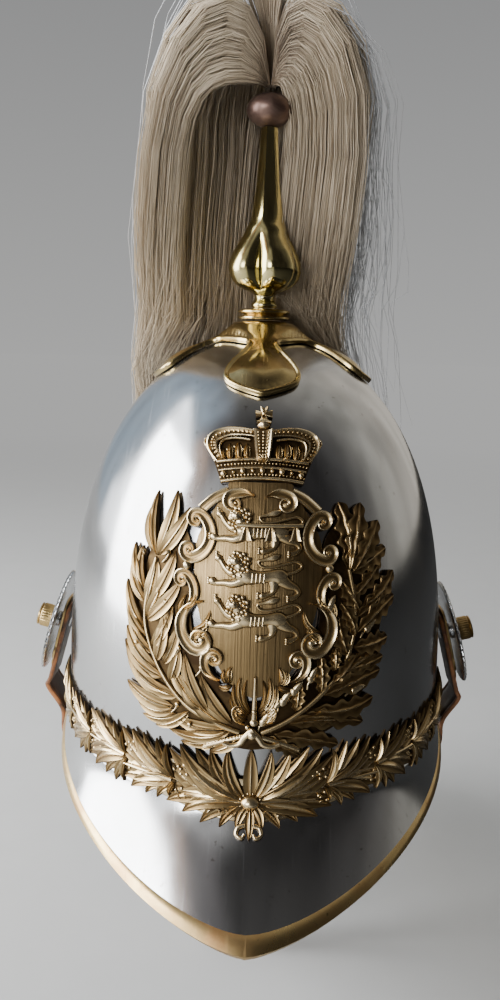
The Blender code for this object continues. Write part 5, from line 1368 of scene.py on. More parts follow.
def hair_material(name, dark, pale, sheen):
    """Horsehair: each hair has its own tone, darker and browner at the head, with painted shade deeper in the
    plume and on its right front, and a soft shine.
    """
    made, tree, shader = new_material(name, 0.0, Roughness=0.42, Sheen_Weight=sheen, Sheen_Roughness=0.4,
                                      Specular_IOR_Level=0.45)
    tone = node(tree, "ShaderNodeAttribute", attribute_name="tone").outputs["Fac"]
    middle = [0.49 * (low + high) for low, high in zip(dark, pale)]
    tree.links.new(ramped(tree, tone, ((0, dark), (0.5, middle), (1, pale))), shader.inputs["Base Color"])
    return made


HAIR = hair_material("horsehair", (0.19, 0.125, 0.075), (0.82, 0.69, 0.50), 0.15)
# Painted rim light: the loose hairs are coloured pale blue-white, as if lit from behind.
RIM_LIT_HAIR = hair_material("rim_lit_horsehair", (0.42, 0.40, 0.38), (0.86, 0.88, 0.92), 0.4)


def grow_hairs(name, lines, thickness, tone, material=HAIR):
    """One mesh of thin closed three-sided hairs along the given lines, from one hair repeated by an array."""
    count, rings = lines.shape[:2]
    one = bmesh.new()
    start = bmesh.ops.create_circle(one, segments=3, radius=1, cap_ends=True)["verts"]
    face = one.faces[:][0]
    for ring in range(1, rings):
        made = bmesh.ops.extrude_face_region(one, geom=[face])["geom"]
        if ring > 1:
            bmesh.ops.delete(one, geom=[face], context="FACES_ONLY")
        face = next(item for item in made if isinstance(item, bmesh.types.BMFace))
        for vert in face.verts:
            vert.co.z = ring
    bmesh.ops.recalc_face_normals(one, faces=one.faces)
    obj = make_piece(name, one, material, sharp=180)
    repeat = obj.modifiers.new("repeat", "ARRAY")
    repeat.count = count
    repeat.use_relative_offset = False
    repeat.use_constant_offset = True
    repeat.constant_offset_displace = (HAIR_APART, 0, 0)
    bpy.context.view_layer.update()
    whole = bpy.data.meshes.new_from_object(obj.evaluated_get(bpy.context.evaluated_depsgraph_get()))
    obj.modifiers.clear()
    obj.data = whole
    flat = np.empty(len(whole.vertices) * 3, np.float32)
    whole.vertices.foreach_get("co", flat)
    flat = flat.reshape(-1, 3)
    hair = np.clip(np.rint(flat[:, 0] / HAIR_APART).astype(int), 0, count - 1)
    ring = np.rint(flat[:, 2]).astype(int)
    corner = np.arctan2(flat[:, 1], flat[:, 0] - HAIR_APART * hair)
    along = np.gradient(lines, axis=1)
    along /= np.linalg.norm(along, axis=2)[..., None]
    side = np.cross(along, np.array([0.31, 0.43, 0.85]))
    side /= np.linalg.norm(side, axis=2)[..., None]
    other = np.cross(along, side)
    taper = 0.5 * thickness[:, None] * np.concatenate([np.ones(rings - len(HAIR_TIP)), HAIR_TIP])[None]
    place = lines[hair, ring] + taper[hair, ring][:, None] * (np.cos(corner)[:, None] * side[hair, ring]
                                                              + np.sin(corner)[:, None] * other[hair, ring])
    whole.vertices.foreach_set("co", place.astype(np.float32).ravel())
    shade = whole.attributes.new("tone", "FLOAT", "POINT")
    shade.data.foreach_set("value", tone[hair, ring].astype(np.float32))
    whole.update()
    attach(obj, "root")
    return obj


clump_turn = np.sort(draw.uniform(FIRST_TURN - 0.10, math.tau - FIRST_TURN + 0.10, CLUMPS))
clump_lift = draw.normal(0, 0.03, CLUMPS)
clump_tone = draw.normal(0, 0.07, CLUMPS)
clump_sway = draw.normal(0, 1.0, CLUMPS)


def hair_waves(count, slow, quick):
    """Each hair's own waves, outwards and aside, with its length's share at each ring and their phases."""
    share = np.linspace(0, 1, HAIR_RINGS)[None]
    phase, pitch = draw.uniform(0, math.tau, (count, 2, 1)), draw.uniform(slow, quick, (count, 2, 1))
    return np.sin(math.tau * pitch * share[:, None] + phase), share, phase


def back_share(turn):
    """0 for hair that springs to the front or the side, and 1 for hair that springs straight back."""
    return np.clip((np.pi - np.abs(turn - np.pi) - 1.3) / 1.3, 0, 1)


def comb(lines, ways, layer, clump_shift, sway, loose):
    """Spreads hairs through the thickness of the plume and gives each its own slight waves."""
    count = len(lines)
    beside, outward = line_frames(lines, ways)
    wander = draw.uniform(0.4, 1.5, (count, 1)) * MM * loose
    waves, share, phase = hair_waves(count, 0.7, 2.2)
    wander = wander * share ** 0.9
    grow = np.clip(0.12 + 2.2 * share, 0, 1) * PLUME_THICKNESS / 2
    aside = clump_shift[:, None] * share ** 1.3 + sway[:, None] * share ** 2
    return (lines + outward * (layer[:, None] * grow + waves[:, 0] * wander)[..., None]
            + beside * (aside + waves[:, 1] * wander * 1.4)[..., None]), share, phase


def hair_tones(base, share, phase, root=0.42, root_reach=0.15):
    tone = base[:, None] - root * np.exp(-(share / root_reach) ** 2) + 0.05 * np.sin(6 * share + phase[:, 0])
    return np.clip(tone, 0, 1)


def bulk_hairs(count, low_layer, high_layer, loose):
    """Lines and tones of hairs between two layers of the curtain, -1 inside to 1 outside."""
    clump = draw.integers(0, CLUMPS, count)
    stray = draw.normal(0, 0.11, count)
    turn = np.clip(clump_turn[clump] + stray, FIRST_TURN - 0.16, math.tau - FIRST_TURN + 0.16)
    layer = draw.uniform(low_layer, high_layer, count)
    fill = draw.random(count) ** 2 * (0.45 if high_layer > 0 else 0.75)
    back = back_share(turn)
    lift = (0.57 + 0.39 * back * back * (3 - 2 * back) + 0.04 * layer) * (1 - fill) + clump_lift[clump]
    lift = lift + draw.normal(0, 0.015, count)
    reach_by = (0.91 + 0.06 * back + 0.03 * layer) * (1 - 0.55 * fill)
    end = 1 - 0.24 * draw.random(count) ** 1.6
    lines, ways = hair_lines(turn, lift, reach_by, end, gather=draw.uniform(0.8, 1.25, count))
    shift, sway = -0.2 * stray * 60 * MM, clump_sway[clump] * 2.0 * MM
    lines, share, phase = comb(lines, ways, layer, shift, sway, loose)
    # Hairs deeper inside the curtain are painted darker, as the shade within the plume.
    base = 0.55 + 0.8 * clump_tone[clump] + draw.normal(0, 0.07, count) + 0.10 * layer
    return lines, hair_tones(base, share, phase)


def front_hairs(count, side):
    """Hairs of the parted front: low arches near the ball, high ones over them, falling beside the spike."""
    clump = draw.integers(0, CLUMPS, count)
    rank = np.clip(clump_rank[clump] + draw.normal(0, 0.09, count), 0, 1)
    lift = 0.04 + 0.56 * rank + draw.normal(0, 0.012, count)
    lowest = 0.60 if side < 0 else 0.32
    reach_by = lowest + (0.92 - lowest) * rank ** 0.8 + draw.normal(0, 0.02, count)
    turn = np.radians(np.clip(30 + 38 * clump_early[clump] - 18 * np.clip((rank - 0.6) / 0.4, 0, 1)
                              + draw.normal(0, 8, count), 6, 88))
    fall = np.radians(88 + 24 * clump_early[clump] + draw.normal(0, 4, count))
    turn = turn if side > 0 else math.tau - turn
    end = 1 - draw.uniform(0, 0.3, count)
    lines, ways = hair_lines(turn, lift, reach_by, end, fall, swing_first=0.55, end_share=0.45,
                             gather=draw.uniform(0.8, 1.25, count))
    layer = draw.uniform(-0.35, 0.35, count)
    lines, share, phase = comb(lines, ways, layer, np.zeros(count), clump_sway[clump] * 1.5 * MM, 1.0)
    base = 0.62 + 0.9 * clump_tone[clump] + draw.normal(0, 0.08, count)
    # On the right the darkening from the ball reaches much further down the hairs: painted shade where the
    # light from the left does not reach.
    return lines, hair_tones(base, share, phase, 0.5, 0.13 if side < 0 else 0.30)


FRONT_HAIRS = 1800
clump_rank = draw.beta(0.95, 1.0, CLUMPS)
clump_early = draw.random(CLUMPS)
hair_sets = (("hair_outer_a", 1900, 0.35, 1.0, 1.0), ("hair_outer_b", 1300, 0.1, 1.0, 1.2),
             ("hair_inner", 1100, -1.0, -0.1, 0.9))
for piece_name, count, low_layer, high_layer, loose in hair_sets:
    lines, tone = bulk_hairs(count, low_layer, high_layer, loose)
    hairs = grow_hairs(piece_name, lines, draw.uniform(0.30, 0.44, count) * MM, tone)
    if piece_name == "hair_outer_a":
        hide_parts("plume")
for piece_name, side in (("hair_front_left", -1), ("hair_front_right", 1)):
    lines, tone = front_hairs(FRONT_HAIRS, side)
    grow_hairs(piece_name, lines, draw.uniform(0.26, 0.38, FRONT_HAIRS) * MM, tone)

# The body of the plume: the mass of hair between the loose ones, drawn as one ribbed curtain, coloured dark
# as painted shade inside the plume.
CORE_STATIONS = 150
CORE_HALF = 3.6 * MM
CORE_INSET = 2.8 * MM  # how far the mass lies below the middle of the hair where it follows the dome
turns = np.linspace(FIRST_TURN - 0.05, math.tau - FIRST_TURN + 0.05, CORE_STATIONS + 1)
core_back = back_share(turns)
station = np.arange(len(turns))
ragged = 0.81 + 0.05 * np.sin(2.3 * station) + 0.05 * np.sin(5.1 * station)
core_lines, core_ways = hair_lines(turns, 0.56 + 0.36 * core_back * core_back * (3 - 2 * core_back),
                                   np.full(len(turns), 0.95), ragged)
core_out = line_frames(core_lines, core_ways)[1]
ribs = 0.4 * MM * np.sin(np.arange(len(turns)) * 2.1) + 0.25 * MM * draw.normal(0, 1, len(turns))
CORE_LEVELS = HAIR_RINGS - 1


def core_place(down, around):
    """Round the curtain's section: out along its outer face and back along its inner one."""
    level = np.rint(down * CORE_LEVELS).astype(int)
    step = np.rint(around * (2 * CORE_STATIONS + 2)).astype(int) % (2 * CORE_STATIONS + 2)
    outer = step <= CORE_STATIONS
    station = np.where(outer, step, 2 * CORE_STATIONS + 1 - step)
    grow = np.clip(0.3 + 0.2 * level, 0, 1) * np.where(level == CORE_LEVELS, 0.3, 1)
    off = np.where(outer, 1, -1) * CORE_HALF * grow + ribs[station] * np.clip(level / 5, 0, 1)
    off = off - CORE_INSET * np.clip((level - len(ARCH_STATIONS) + 1) / 3, 0, 1)
    return core_lines[station, level] + core_out[station, level] * off[:, None]


def core_material():
    """The mass of hair under the loose ones, streaked along its length and dark as painted shade."""
    made, tree, shader = new_material("hair_mass_painted_shade", 0.0, Roughness=0.6)
    way = node(tree, "ShaderNodeUVMap", uv_map="fall").outputs[0]
    fine = node(tree, "ShaderNodeMapping", {"Vector": way, "Scale": (900, 5, 1)})
    streaks = node(tree, "ShaderNodeTexNoise", {"Vector": fine.outputs[0], "Scale": 1.0, "Detail": 3.0})
    share = spread(tree, streaks.outputs["Fac"], 0.35, 0.65)
    colour = mixed(tree, share, (0.07, 0.048, 0.032, 1), (0.30, 0.24, 0.17, 1))
    tree.links.new(colour, shader.inputs["Base Color"])
    bump = node(tree, "ShaderNodeBump", {"Height": share, "Strength": 0.6, "Distance": 0.5 * MM})
    tree.links.new(bump.outputs[0], shader.inputs["Normal"])
    return made


bm = bmesh.new()
way = bm.loops.layers.uv.new("fall")
verts = shaped_grid(bm, CORE_LEVELS, 2 * CORE_STATIONS + 2, core_place)
for face in bm.faces:
    corners = [(loop, np.array(loop.vert.co)) for loop in face.loops]
    for loop, place in corners:
        angle = math.atan2(place[0], -place[1])
        loop[way].uv = ((angle % math.tau) / math.tau, place[2] / 0.4)
close_tube(bm, verts)
core = make_piece("hair_core", bm, core_material(), sharp=60)
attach(core, "root")

# Loose hairs that stand off the plume: flyaways over its top and wisps down its right side, coloured pale
# blue-white as a painted rim light.
FLYAWAYS, WISPS = 44, 170


def stray_hairs(turn, lift, reach_by, off, curl, tones, end, lean):
    """Lines and tones of hairs that stand off the plume and curl."""
    lines, ways = hair_lines(turn, lift, reach_by, end, lean=lean)
    beside, outward = line_frames(lines, ways)
    waves, share, _ = hair_waves(len(turn), 0.8, 2.6)
    waves = waves * curl[:, None, None] * share[:, None] ** 1.1
    bend = off[:, None] * np.clip(share * 1.2, 0, 1) ** 1.8
    lines = lines + outward * (bend + waves[:, 0])[..., None] + beside * waves[:, 1][..., None] * 1.6
    return lines, np.repeat(tones[:, None], HAIR_RINGS, axis=1)


side = draw.random(FLYAWAYS) < 0.5
right_turn = draw.uniform(FIRST_TURN - 0.3, 2.6, FLYAWAYS)
turn = np.where(side, right_turn, math.tau - draw.uniform(FIRST_TURN - 0.3, 2.6, FLYAWAYS))
lines_a, tone_a = stray_hairs(turn, draw.uniform(0.55, 0.95, FLYAWAYS), draw.uniform(0.95, 1.2, FLYAWAYS),
                              draw.uniform(1, 14, FLYAWAYS) * MM, draw.uniform(1, 6, FLYAWAYS) * MM,
                              draw.uniform(0.4, 1.0, FLYAWAYS), 1 - draw.uniform(0, 0.7, FLYAWAYS), 1.0)
turn = draw.uniform(FIRST_TURN - 0.1, FIRST_TURN + 0.9, WISPS)
lines_b, tone_b = stray_hairs(turn, draw.uniform(0.40, 0.60, WISPS), draw.uniform(0.90, 1.0, WISPS),
                              np.abs(draw.normal(0, 16, WISPS)) * MM, draw.uniform(1, 7, WISPS) * MM,
                              draw.uniform(0.3, 1.0, WISPS), 1 - draw.uniform(0, 0.75, WISPS), 0.15)
lines, tone = np.concatenate([lines_a, lines_b]), np.concatenate([tone_a, tone_b])
grow_hairs("hair_loose", lines, draw.uniform(0.26, 0.38, len(lines)) * MM, tone, RIM_LIT_HAIR)

# Rosettes
# A dished rosette of white metal stands off each side on a post, its edge milled and its face ribbed.
# A knurled brass boss caps it, and a brass tongue behind it carries the end of the strap.

ROSETTE_RADIUS = 27 * MM
ROSETTE_METAL = 1.2 * MM
ROSETTE_DISH = 2.2 * MM
ROSETTE_TEETH = 44
ROSETTE_HEIGHT = 35.5 * MM
ROSETTE_STANDOFF = 10 * MM
ROSETTE_TILT = math.radians(15)
POST_RADIUS = 2.6 * MM
BOSS_RADIUS = 6.2 * MM
BOSS_HEIGHT = 8 * MM


def ear_frame(side):
    """Rosette space: +Z out of the rosette's face, +Y down its face, with the origin in its plane."""
    out = Vector((side * math.cos(ROSETTE_TILT), 0, math.sin(ROSETTE_TILT)))
    down = Vector((side * math.sin(ROSETTE_TILT), 0, -math.cos(ROSETTE_TILT)))
    aside = float(skull_point(math.pi / 2, ROSETTE_HEIGHT)[0]) + ROSETTE_STANDOFF
    centre = Vector((side * aside, 0, ROSETTE_HEIGHT))
    return Matrix.Translation(centre) @ Matrix((down.cross(out), down, out)).transposed().to_4x4()


ROSETTE_RINGS = (  # radius share, height over the plane in mm, tooth depth in mm
    (0.985, -1.0, 0.9), (1.0, -0.5, 1.1), (1.0, 0.0, 1.1), (0.975, 0.35, 0.9), (0.93, 0.45, 0.35),
    (0.90, 0.15, 0.0), (0.87, 0.1, 0.0), (0.845, 0.65, 0.0), (0.81, 0.8, 0.0), (0.78, 0.5, 0.0),
    (0.74, 0.5, 0.5), (0.64, 1.1, 0.8), (0.52, 1.5, 0.8), (0.42, 1.6, 0.4), (0.38, 1.5, 0.0),
    (0.355, 1.9, 0.0), (0.32, 2.2, 0.0), (0.285, 2.0, 0.0), (0.25, 2.1, 0.0))
ROSETTE_BACK = ((0.97, -1.2, 0.8), (0.80, -1.2, 0.0), (0.25, -0.2, 0.0))  # the same for its back
ROSETTE_SIDES = 4 * ROSETTE_TEETH


def rosette_place(across, around):
    """Out over the face from the boss to the milled edge, and back under it."""
    rings = ROSETTE_RINGS[::-1] + ROSETTE_BACK
    share, lift, tooth = np.array(rings)[np.rint(across * (len(rings) - 1)).astype(int)].T
    turn = math.tau * around
    wave = 0.5 - 0.5 * np.cos(ROSETTE_TEETH * turn)
    radius = ROSETTE_RADIUS * share - tooth * MM * wave * (share > 0.9)
    height = lift * MM - np.where(share < 0.9, tooth * MM * wave * 0.6, 0)
    return np.stack([radius * np.cos(turn), radius * np.sin(turn), height], -1)


BOSS_KNURLS = 30
BOSS_PROFILE = (  # radius share, height share
    (0, 0), (0.98, 0), (1.0, 0.04), (0.93, 0.10), (0.93, 0.14), (1.0, 0.18), (1.0, 0.74), (0.93, 0.80),
    (0.90, 0.84), (0.97, 0.88), (0.95, 0.95), (0.80, 0.99), (0.62, 1.0), (0.58, 0.94), (0.0, 0.93))


def boss_place(up, around):
    """Up the knurled boss and in over its face."""
    radius, high = np.array(BOSS_PROFILE)[np.rint(up * (len(BOSS_PROFILE) - 1)).astype(int)].T
    knurled = (high > 0.16) & (high < 0.76)
    turn = math.tau * around
    notch = np.where(knurled, 0.05 * (0.5 - 0.5 * np.cos(BOSS_KNURLS * math.tau * around)), 0)
    return np.stack([BOSS_RADIUS * (radius - notch) * np.cos(turn),
                     BOSS_RADIUS * (radius - notch) * np.sin(turn),
                     ROSETTE_DISH + GAP + BOSS_HEIGHT * high], -1)


def leather():
    """Dark brown leather, pebbled and cracked, its edges orange from rubbed wear and a painted highlight."""
    made, tree, shader = new_material("strap_leather", 0.0, Coat_Weight=0.15, Coat_Roughness=0.35)
    place = node(tree, "ShaderNodeTexCoord").outputs["Object"]
    grain = node(tree, "ShaderNodeTexVoronoi", {"Vector": place, "Scale": 900.0}, feature="DISTANCE_TO_EDGE")
    creases = node(tree, "ShaderNodeTexNoise", {"Vector": place, "Scale": 160.0, "Detail": 5.0,
                                                "Roughness": 0.6})
    edge = node(tree, "ShaderNodeAttribute", attribute_name="edge").outputs["Fac"]
    wear_and_painted_light = sums(tree, "MULTIPLY", edge, spread(tree, creases.outputs["Fac"], 0.30, 0.60))
    creased = spread(tree, creases.outputs["Fac"], 0.35, 0.65)
    colour = mixed(tree, creased, (0.030, 0.014, 0.009, 1), (0.075, 0.036, 0.022, 1))
    colour = mixed(tree, wear_and_painted_light, colour, (0.36, 0.14, 0.045, 1))
    rough = spread(tree, creases.outputs["Fac"], 0.3, 0.7, 0.38, 0.6)
    pebbles = spread(tree, grain.outputs["Distance"], 0.0, 0.35)
    height = sums(tree, "ADD", sums(tree, "MULTIPLY", pebbles, 0.5), creases.outputs["Fac"])
    lead_in(tree, shader, colour, rough, height, 0.5, 0.15 * MM)
    return made


LEATHER = leather()
ROSETTE_METAL_FINISH = nickel_silver("rosette_silver", 0.22, 0.1)
PLATE_BRASS = polished_brass("plate_brass", 0.28, (0.62, 0.44, 0.19, 1), (0.22, 0.12, 0.05, 1), 0.9, 0.7)

POST_DEPTH = (ROSETTE_STANDOFF - GAP) / math.cos(ROSETTE_TILT) - ROSETTE_DISH - ROSETTE_METAL
for side, label in ((-1, "left"), (1, "right")):
    bm = bmesh.new()
    close_tube(bm, shaped_grid(bm, len(ROSETTE_RINGS) + len(ROSETTE_BACK) - 1, ROSETTE_SIDES, rosette_place))
    wide = POST_RADIUS * 1.6
    post = [(0, 0.5 * MM), (wide, 0.5 * MM), (wide, -1.2 * MM), (POST_RADIUS, -1.6 * MM),
            (POST_RADIUS, -POST_DEPTH), (0, -POST_DEPTH)]
    absorb(bm, spun(post, 32))
    bmesh.ops.transform(bm, matrix=ear_frame(side), verts=bm.verts)
    rosette = make_piece("ear_rosette_" + label, bm, ROSETTE_METAL_FINISH, sharp=35)
    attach(rosette, "root")
    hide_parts("rosette_" + label)

    bm = bmesh.new()
    close_tube(bm, shaped_grid(bm, len(BOSS_PROFILE) - 1, 4 * BOSS_KNURLS, boss_place))
    bmesh.ops.transform(bm, matrix=ear_frame(side), verts=bm.verts)
    boss = make_piece("knurled_boss_" + label, bm, PLATE_BRASS, sharp=35)
    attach(boss, "root")
    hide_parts("boss_" + label)

# Strap plates
# The tongue of thin brass at each end of the strap, cut to a lobed point and bevelled.

STRAP_PLATE_HALF_WIDTH = 10 * MM
STRAP_PLATE_UP = 14 * MM
STRAP_PLATE_DOWN = 27 * MM
STRAP_PLATE_METAL = 1.2 * MM
PLATE_BEHIND = 3.2 * MM
PLATE_LEVEL = ROSETTE_DISH - ROSETTE_METAL - 2 * GAP - PLATE_BEHIND
PLATE_STEPS = ((0, 0.7), (0.5, 0.3), (0.9, 0), (0.2, -0.25))  # inset in mm, rise as a share of the metal
PLATE_OUTLINE = ((0.0, -1.0), (0.5, -1.0), (0.85, -0.86), (1.0, -0.6), (1.0, 0.1), (0.97, 0.35),
                 (0.90, 0.45), (0.97, 0.55), (0.86, 0.68), (0.62, 0.76), (0.50, 0.80), (0.40, 0.90),
                 (0.20, 0.975), (0.0, 1.0))
for side, label in ((-1, "left"), (1, "right")):
    half = [(STRAP_PLATE_HALF_WIDTH * x, y * (STRAP_PLATE_UP if y < 0 else STRAP_PLATE_DOWN))
            for x, y in smooth_through(PLATE_OUTLINE, 34)]
    half = [(max(x, 0), y) for x, y in half]
    loop = half + [(-x, y) for x, y in reversed(half[1:-1])]
    bm = bmesh.new()
    face = bm.faces.new([bm.verts.new((x, y, PLATE_LEVEL - STRAP_PLATE_METAL)) for x, y in loop])
    made = bmesh.ops.extrude_face_region(bm, geom=[face])["geom"]
    top = next(item for item in made if isinstance(item, bmesh.types.BMFace))
    for inset, lift in PLATE_STEPS:
        if inset:
            bmesh.ops.inset_region(bm, faces=[top], thickness=inset * MM, depth=0, use_even_offset=True,
                                   use_boundary=True)
        bmesh.ops.translate(bm, vec=(0, 0, STRAP_PLATE_METAL * lift), verts=top.verts)
    bmesh.ops.recalc_face_normals(bm, faces=bm.faces)
    bmesh.ops.transform(bm, matrix=ear_frame(side), verts=bm.verts)
    plate = make_piece("strap_tongue_" + label, bm, PLATE_BRASS, sharp=30)
    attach(plate, "root")
    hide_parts("strap_plate_" + label)

# Chin strap
# One strap of dark brown leather from rosette to rosette under the chin, its edges rounded, creased with a
# hot iron and orange along them, partly rubbed wear and partly a painted highlight.

STRAP_THICKNESS = 2.2 * MM
STRAP_WIDTH_EAR = 24 * MM
STRAP_WIDTH_CHIN = 16 * MM
STRAP_DEPTH = 126 * MM
STRAP_FORWARD = 24 * MM
STRAP_RIM_CLEARANCE = 1.0 * MM
STRAP_CURVE = (  # half-width share, depth share, forward share
    (1.00, 0.09, 0.02), (0.985, 0.20, 0.10), (0.90, 0.42, 0.34), (0.72, 0.68, 0.66), (0.45, 0.90, 0.90),
    (0.15, 0.99, 1.00))
STRAP_SECTION = (  # across share, through share, going round the strap
    (-1.0, 0.3), (-0.97, 0.9), (-0.90, 1.0), (-0.80, 0.93), (-0.76, 0.72), (-0.72, 0.95), (-0.4, 1.0),
    (0.0, 1.0), (0.4, 1.0), (0.72, 0.95), (0.76, 0.72), (0.80, 0.93), (0.90, 1.0), (0.97, 0.9), (1.0, 0.3),
    (1.0, -0.3), (0.97, -0.9), (0.90, -1.0), (0.0, -1.0), (-0.90, -1.0), (-0.97, -0.9), (-1.0, -0.3))

level = ROSETTE_DISH - ROSETTE_METAL - 3 * GAP - PLATE_BEHIND - STRAP_PLATE_METAL - STRAP_THICKNESS / 2
straight = STRAP_PLATE_DOWN + 2 * MM
downs = (-12 * MM, straight / 3, straight, straight + 5 * MM)
right = [np.array(ear_frame(1) @ Vector((0, down, level))) for down in downs]
rim = float(rim_point(math.pi / 2)[0])
past = rim + EDGING_METAL + EDGING_SLACK + STRAP_RIM_CLEARANCE + STRAP_THICKNESS / 2
right += [np.array((past * x, -STRAP_FORWARD * y, -STRAP_DEPTH * z)) for x, z, y in STRAP_CURVE]
line = np.array(right + [point * (-1, 1, 1) for point in reversed(right)])
STRAP_STEPS = 190
middle_line = smooth_through(line, STRAP_STEPS + 1)
along = np.gradient(middle_line, axis=0)
along /= np.linalg.norm(along, axis=1)[:, None]
across = np.array([0.0, 1.0, 0.0]) - along * along[:, 1:2]
across /= np.linalg.norm(across, axis=1)[:, None]
through = np.cross(across, along)
down = np.clip(-middle_line[:, 2] / STRAP_DEPTH, 0, 1)
half_width = (STRAP_WIDTH_EAR + (STRAP_WIDTH_CHIN - STRAP_WIDTH_EAR) * down) / 2
ends = np.minimum(np.arange(STRAP_STEPS + 1), STRAP_STEPS - np.arange(STRAP_STEPS + 1))
half_width = half_width * np.interp(ends, (0, 1, 3, 6), (0.45, 0.7, 0.9, 1.0))
corners = len(STRAP_SECTION)
thick = np.interp(ends, (0, 2), (0.5, 1.0)) * STRAP_THICKNESS / 2


def strap_place(share, around):
    at = np.rint(share * STRAP_STEPS).astype(int)
    corner = np.array(STRAP_SECTION)[np.rint(around * corners).astype(int) % corners]
    return (middle_line[at] + across[at] * (corner[:, :1] * half_width[at][:, None])
            + through[at] * (corner[:, 1:] * thick[at][:, None]))


bm = bmesh.new()
rub_and_highlight = bm.verts.layers.float.new("edge")
verts = shaped_grid(bm, STRAP_STEPS, corners, strap_place)
# Orange along both edges: partly rubbed wear, partly a painted highlight.
for vert in verts:
    at = int(np.argmin(((middle_line - np.array(vert.co)) ** 2).sum(axis=1)))
    off = abs(float((np.array(vert.co) - middle_line[at]) @ across[at])) / max(half_width[at], 1e-6)
    vert[rub_and_highlight] = float(np.clip((off - 0.78) / 0.16, 0, 1))
close_tube(bm, verts)
strap = make_piece("leather_chin_strap", bm, LEATHER, sharp=50)
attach(strap, "root")
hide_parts("chin_strap")

# Floor, lights and camera
# A pale plain floor, soft studio light, and the camera at the photograph's angle.

FLOOR_HEIGHT = -0.140
floor_bm = bmesh.new()
bmesh.ops.create_circle(floor_bm, cap_ends=True, segments=96, radius=9.0)
bmesh.ops.translate(floor_bm, vec=(0, 0, FLOOR_HEIGHT), verts=floor_bm.verts)
floor_paint, tree, shader = new_material("floor_paint", 0.0, Specular_IOR_Level=0.0, Roughness=0.7,
                                         Emission_Color=(0.46, 0.46, 0.455, 1))
place = node(tree, "ShaderNodeTexCoord").outputs["Object"]
away = node(tree, "ShaderNodeVectorMath", {0: place}, operation="LENGTH").outputs["Value"]
grain = node(tree, "ShaderNodeTexNoise", {"Vector": place, "Scale": 40.0, "Detail": 3.0}).outputs["Fac"]
far = spread(tree, away, 0.35, 2.2)
paint = mixed(tree, far, mixed(tree, grain, (0.60, 0.60, 0.59, 1), (0.64, 0.64, 0.63, 1)), (0, 0, 0, 1))
# Painted glow and shade: the floor glows more the farther it is from the middle, where it is seen directly
# and, in reflections, on its left; in reflections its right is painted nearly black as shade.
rays = node(tree, "ShaderNodeLightPath").outputs
across = node(tree, "ShaderNodeSeparateXYZ", {0: place}).outputs["X"]
right = spread(tree, across, -0.10, 0.12)
shaded = sums(tree, "MULTIPLY", rays["Is Glossy Ray"], sums(tree, "MULTIPLY", right, 0.93))
tree.links.new(mixed(tree, shaded, paint, (0.03, 0.03, 0.03, 1)), shader.inputs["Base Color"])
mirrored = sums(tree, "MULTIPLY", rays["Is Glossy Ray"], sums(tree, "SUBTRACT", 1.0, right))
shown = sums(tree, "MAXIMUM", rays["Is Camera Ray"], mirrored)
tree.links.new(sums(tree, "MULTIPLY", far, shown), shader.inputs["Emission Strength"])
floor = make_piece("studio_floor", floor_bm, floor_paint)

world = bpy.data.worlds.new("studio")
world.use_nodes = True
bpy.context.scene.world = world
tree = world.node_tree
background = tree.nodes["Background"]
way = node(tree, "ShaderNodeTexCoord").outputs["Generated"]
parts = node(tree, "ShaderNodeSeparateXYZ", {0: way})
x, y, z = (parts.outputs[axis] for axis in "XYZ")

# What stands in the room, by the way it is seen in the polish: dark ahead and above, a pale wall behind, blue
# daylight beside the window, a wooden post near it and the bright wall round it.
room = ramped(tree, spread(tree, y, -0.4, 0.7), (
    (0, (0.033, 0.031, 0.030)), (0.23, (0.10, 0.096, 0.092)), (0.36, (0.19, 0.18, 0.165)),
    (0.64, (0.48, 0.46, 0.41)), (1, (0.66, 0.61, 0.53))))
room = mixed(tree, spread(tree, x, -0.24, -0.36), room, (0.19, 0.175, 0.175, 1))
daylight = sums(tree, "MULTIPLY", spread(tree, x, -0.22, -0.50), spread(tree, y, -0.20, -0.02))
room = mixed(tree, daylight, room, (0.46, 0.56, 0.66, 1))
post = sums(tree, "MULTIPLY", spread(tree, x, -0.54, -0.60), spread(tree, y, -0.12, -0.24))
room = mixed(tree, post, room, (0.72, 0.47, 0.33, 1))
edge = sums(tree, "SUBTRACT", x, sums(tree, "MULTIPLY", y, 0.25))
behind_wall = sums(tree, "ADD", y, spread(tree, z, 0.10, 0.32, -0.22, 0.0))
wall = sums(tree, "MULTIPLY", spread(tree, edge, -0.64, -0.69), spread(tree, behind_wall, 0.42, 0.30))
room = mixed(tree, wall, room, (3.6, 3.7, 3.8, 1))
ahead = sums(tree, "MULTIPLY", spread(tree, x, -0.20, -0.45), spread(tree, y, 0.0, -0.1))
room = mixed(tree, sums(tree, "MULTIPLY", ahead, spread(tree, z, 0.50, 0.36)), room, (2.2, 2.25, 2.3, 1))
above = sums(tree, "MULTIPLY", spread(tree, x, -0.05, -0.25), spread(tree, y, -0.42, -0.56))
room = mixed(tree, sums(tree, "MULTIPLY", above, spread(tree, z, 0.45, 0.55)), room, (0.55, 0.54, 0.53, 1))
upright = node(tree, "ShaderNodeMapping", {"Vector": way, "Scale": (7, 7, 0.5)})
clutter = node(tree, "ShaderNodeTexNoise", {"Vector": upright.outputs[0], "Scale": 1.0, "Detail": 4.0})
varied = spread(tree, clutter.outputs["Fac"], 0.35, 0.65)
varied = mixed(tree, varied, (0.62, 0.62, 0.62, 1), (1.15, 1.15, 1.15, 1))
room = mixed(tree, 1.0, room, varied, "MULTIPLY")
upwards = spread(tree, parts.outputs["Z"], -0.05, 0.45)
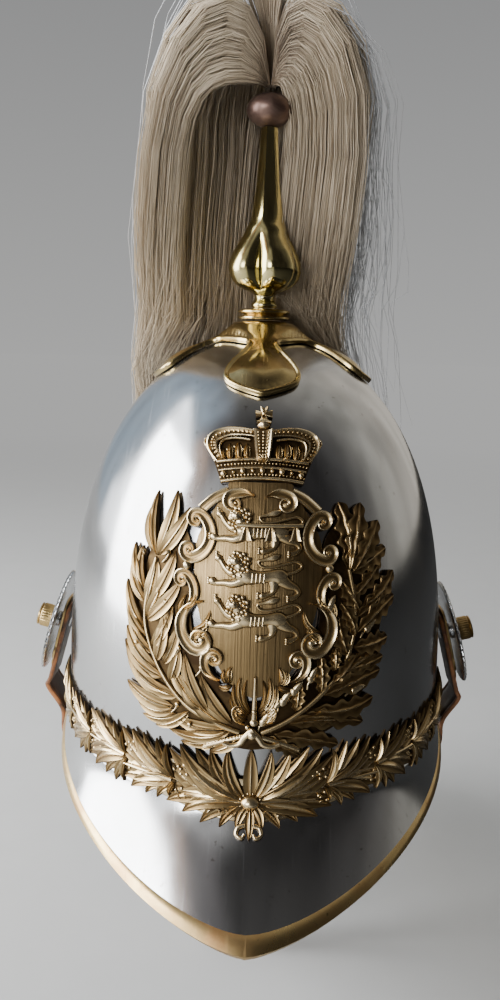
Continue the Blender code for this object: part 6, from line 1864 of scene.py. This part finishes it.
backdrop = mixed(tree, upwards, (0.46, 0.46, 0.455, 1), (0.24, 0.242, 0.246, 1))
seen = node(tree, "ShaderNodeLightPath").outputs["Is Camera Ray"]
tree.links.new(mixed(tree, seen, room, backdrop), background.inputs["Color"])
background.inputs["Strength"].default_value = 1.0


def softbox(name, place, target, width, height, power, colour):
    """A rectangular area light that looks at a point."""
    data = bpy.data.lights.new(name, "AREA")
    data.shape = "RECTANGLE"
    data.size, data.size_y = width, height
    data.energy = power
    data.color = colour
    light = bpy.data.objects.new(name, data)
    bpy.context.scene.collection.objects.link(light)
    light.location = place
    light.rotation_mode = "QUATERNION"
    light.rotation_quaternion = (Vector(target) - Vector(place)).to_track_quat("-Z", "Y")
    return light


softbox("window_left", (-1.25, -0.12, 0.34), (0, 0, 0.05), 0.95, 1.45, 50, (0.97, 0.985, 1.0))
softbox("window_front", (-0.75, -1.25, 0.40), (0, 0, 0.10), 0.6, 0.6, 12, (0.98, 0.99, 1.0))

CAMERA_PLACE = Vector((0, -442.7, 191.6)) * MM
CAMERA_PITCH = math.radians(-11.27)
CAMERA_YAW = math.radians(-0.57)
CAMERA_ROLL = math.radians(1.60)
level_share = math.cos(CAMERA_PITCH)
forward = Vector((math.sin(CAMERA_YAW) * level_share, math.cos(CAMERA_YAW) * level_share,
                  math.sin(CAMERA_PITCH)))
level_right = forward.cross(Vector((0, 0, 1))).normalized()
level_up = level_right.cross(forward)
right_way = level_right * math.cos(CAMERA_ROLL) + level_up * math.sin(CAMERA_ROLL)
up_way = level_up * math.cos(CAMERA_ROLL) - level_right * math.sin(CAMERA_ROLL)
camera_data = bpy.data.cameras.new("camera")
camera_data.sensor_width = 36
camera_data.lens = 31.15
camera_data.clip_start, camera_data.clip_end = 0.01, 30
camera = bpy.data.objects.new("camera", camera_data)
bpy.context.scene.collection.objects.link(camera)
turned = Matrix((right_way, up_way, -forward)).transposed().to_4x4()
camera.matrix_world = Matrix.Translation(CAMERA_PLACE) @ turned
bpy.context.scene.camera = camera
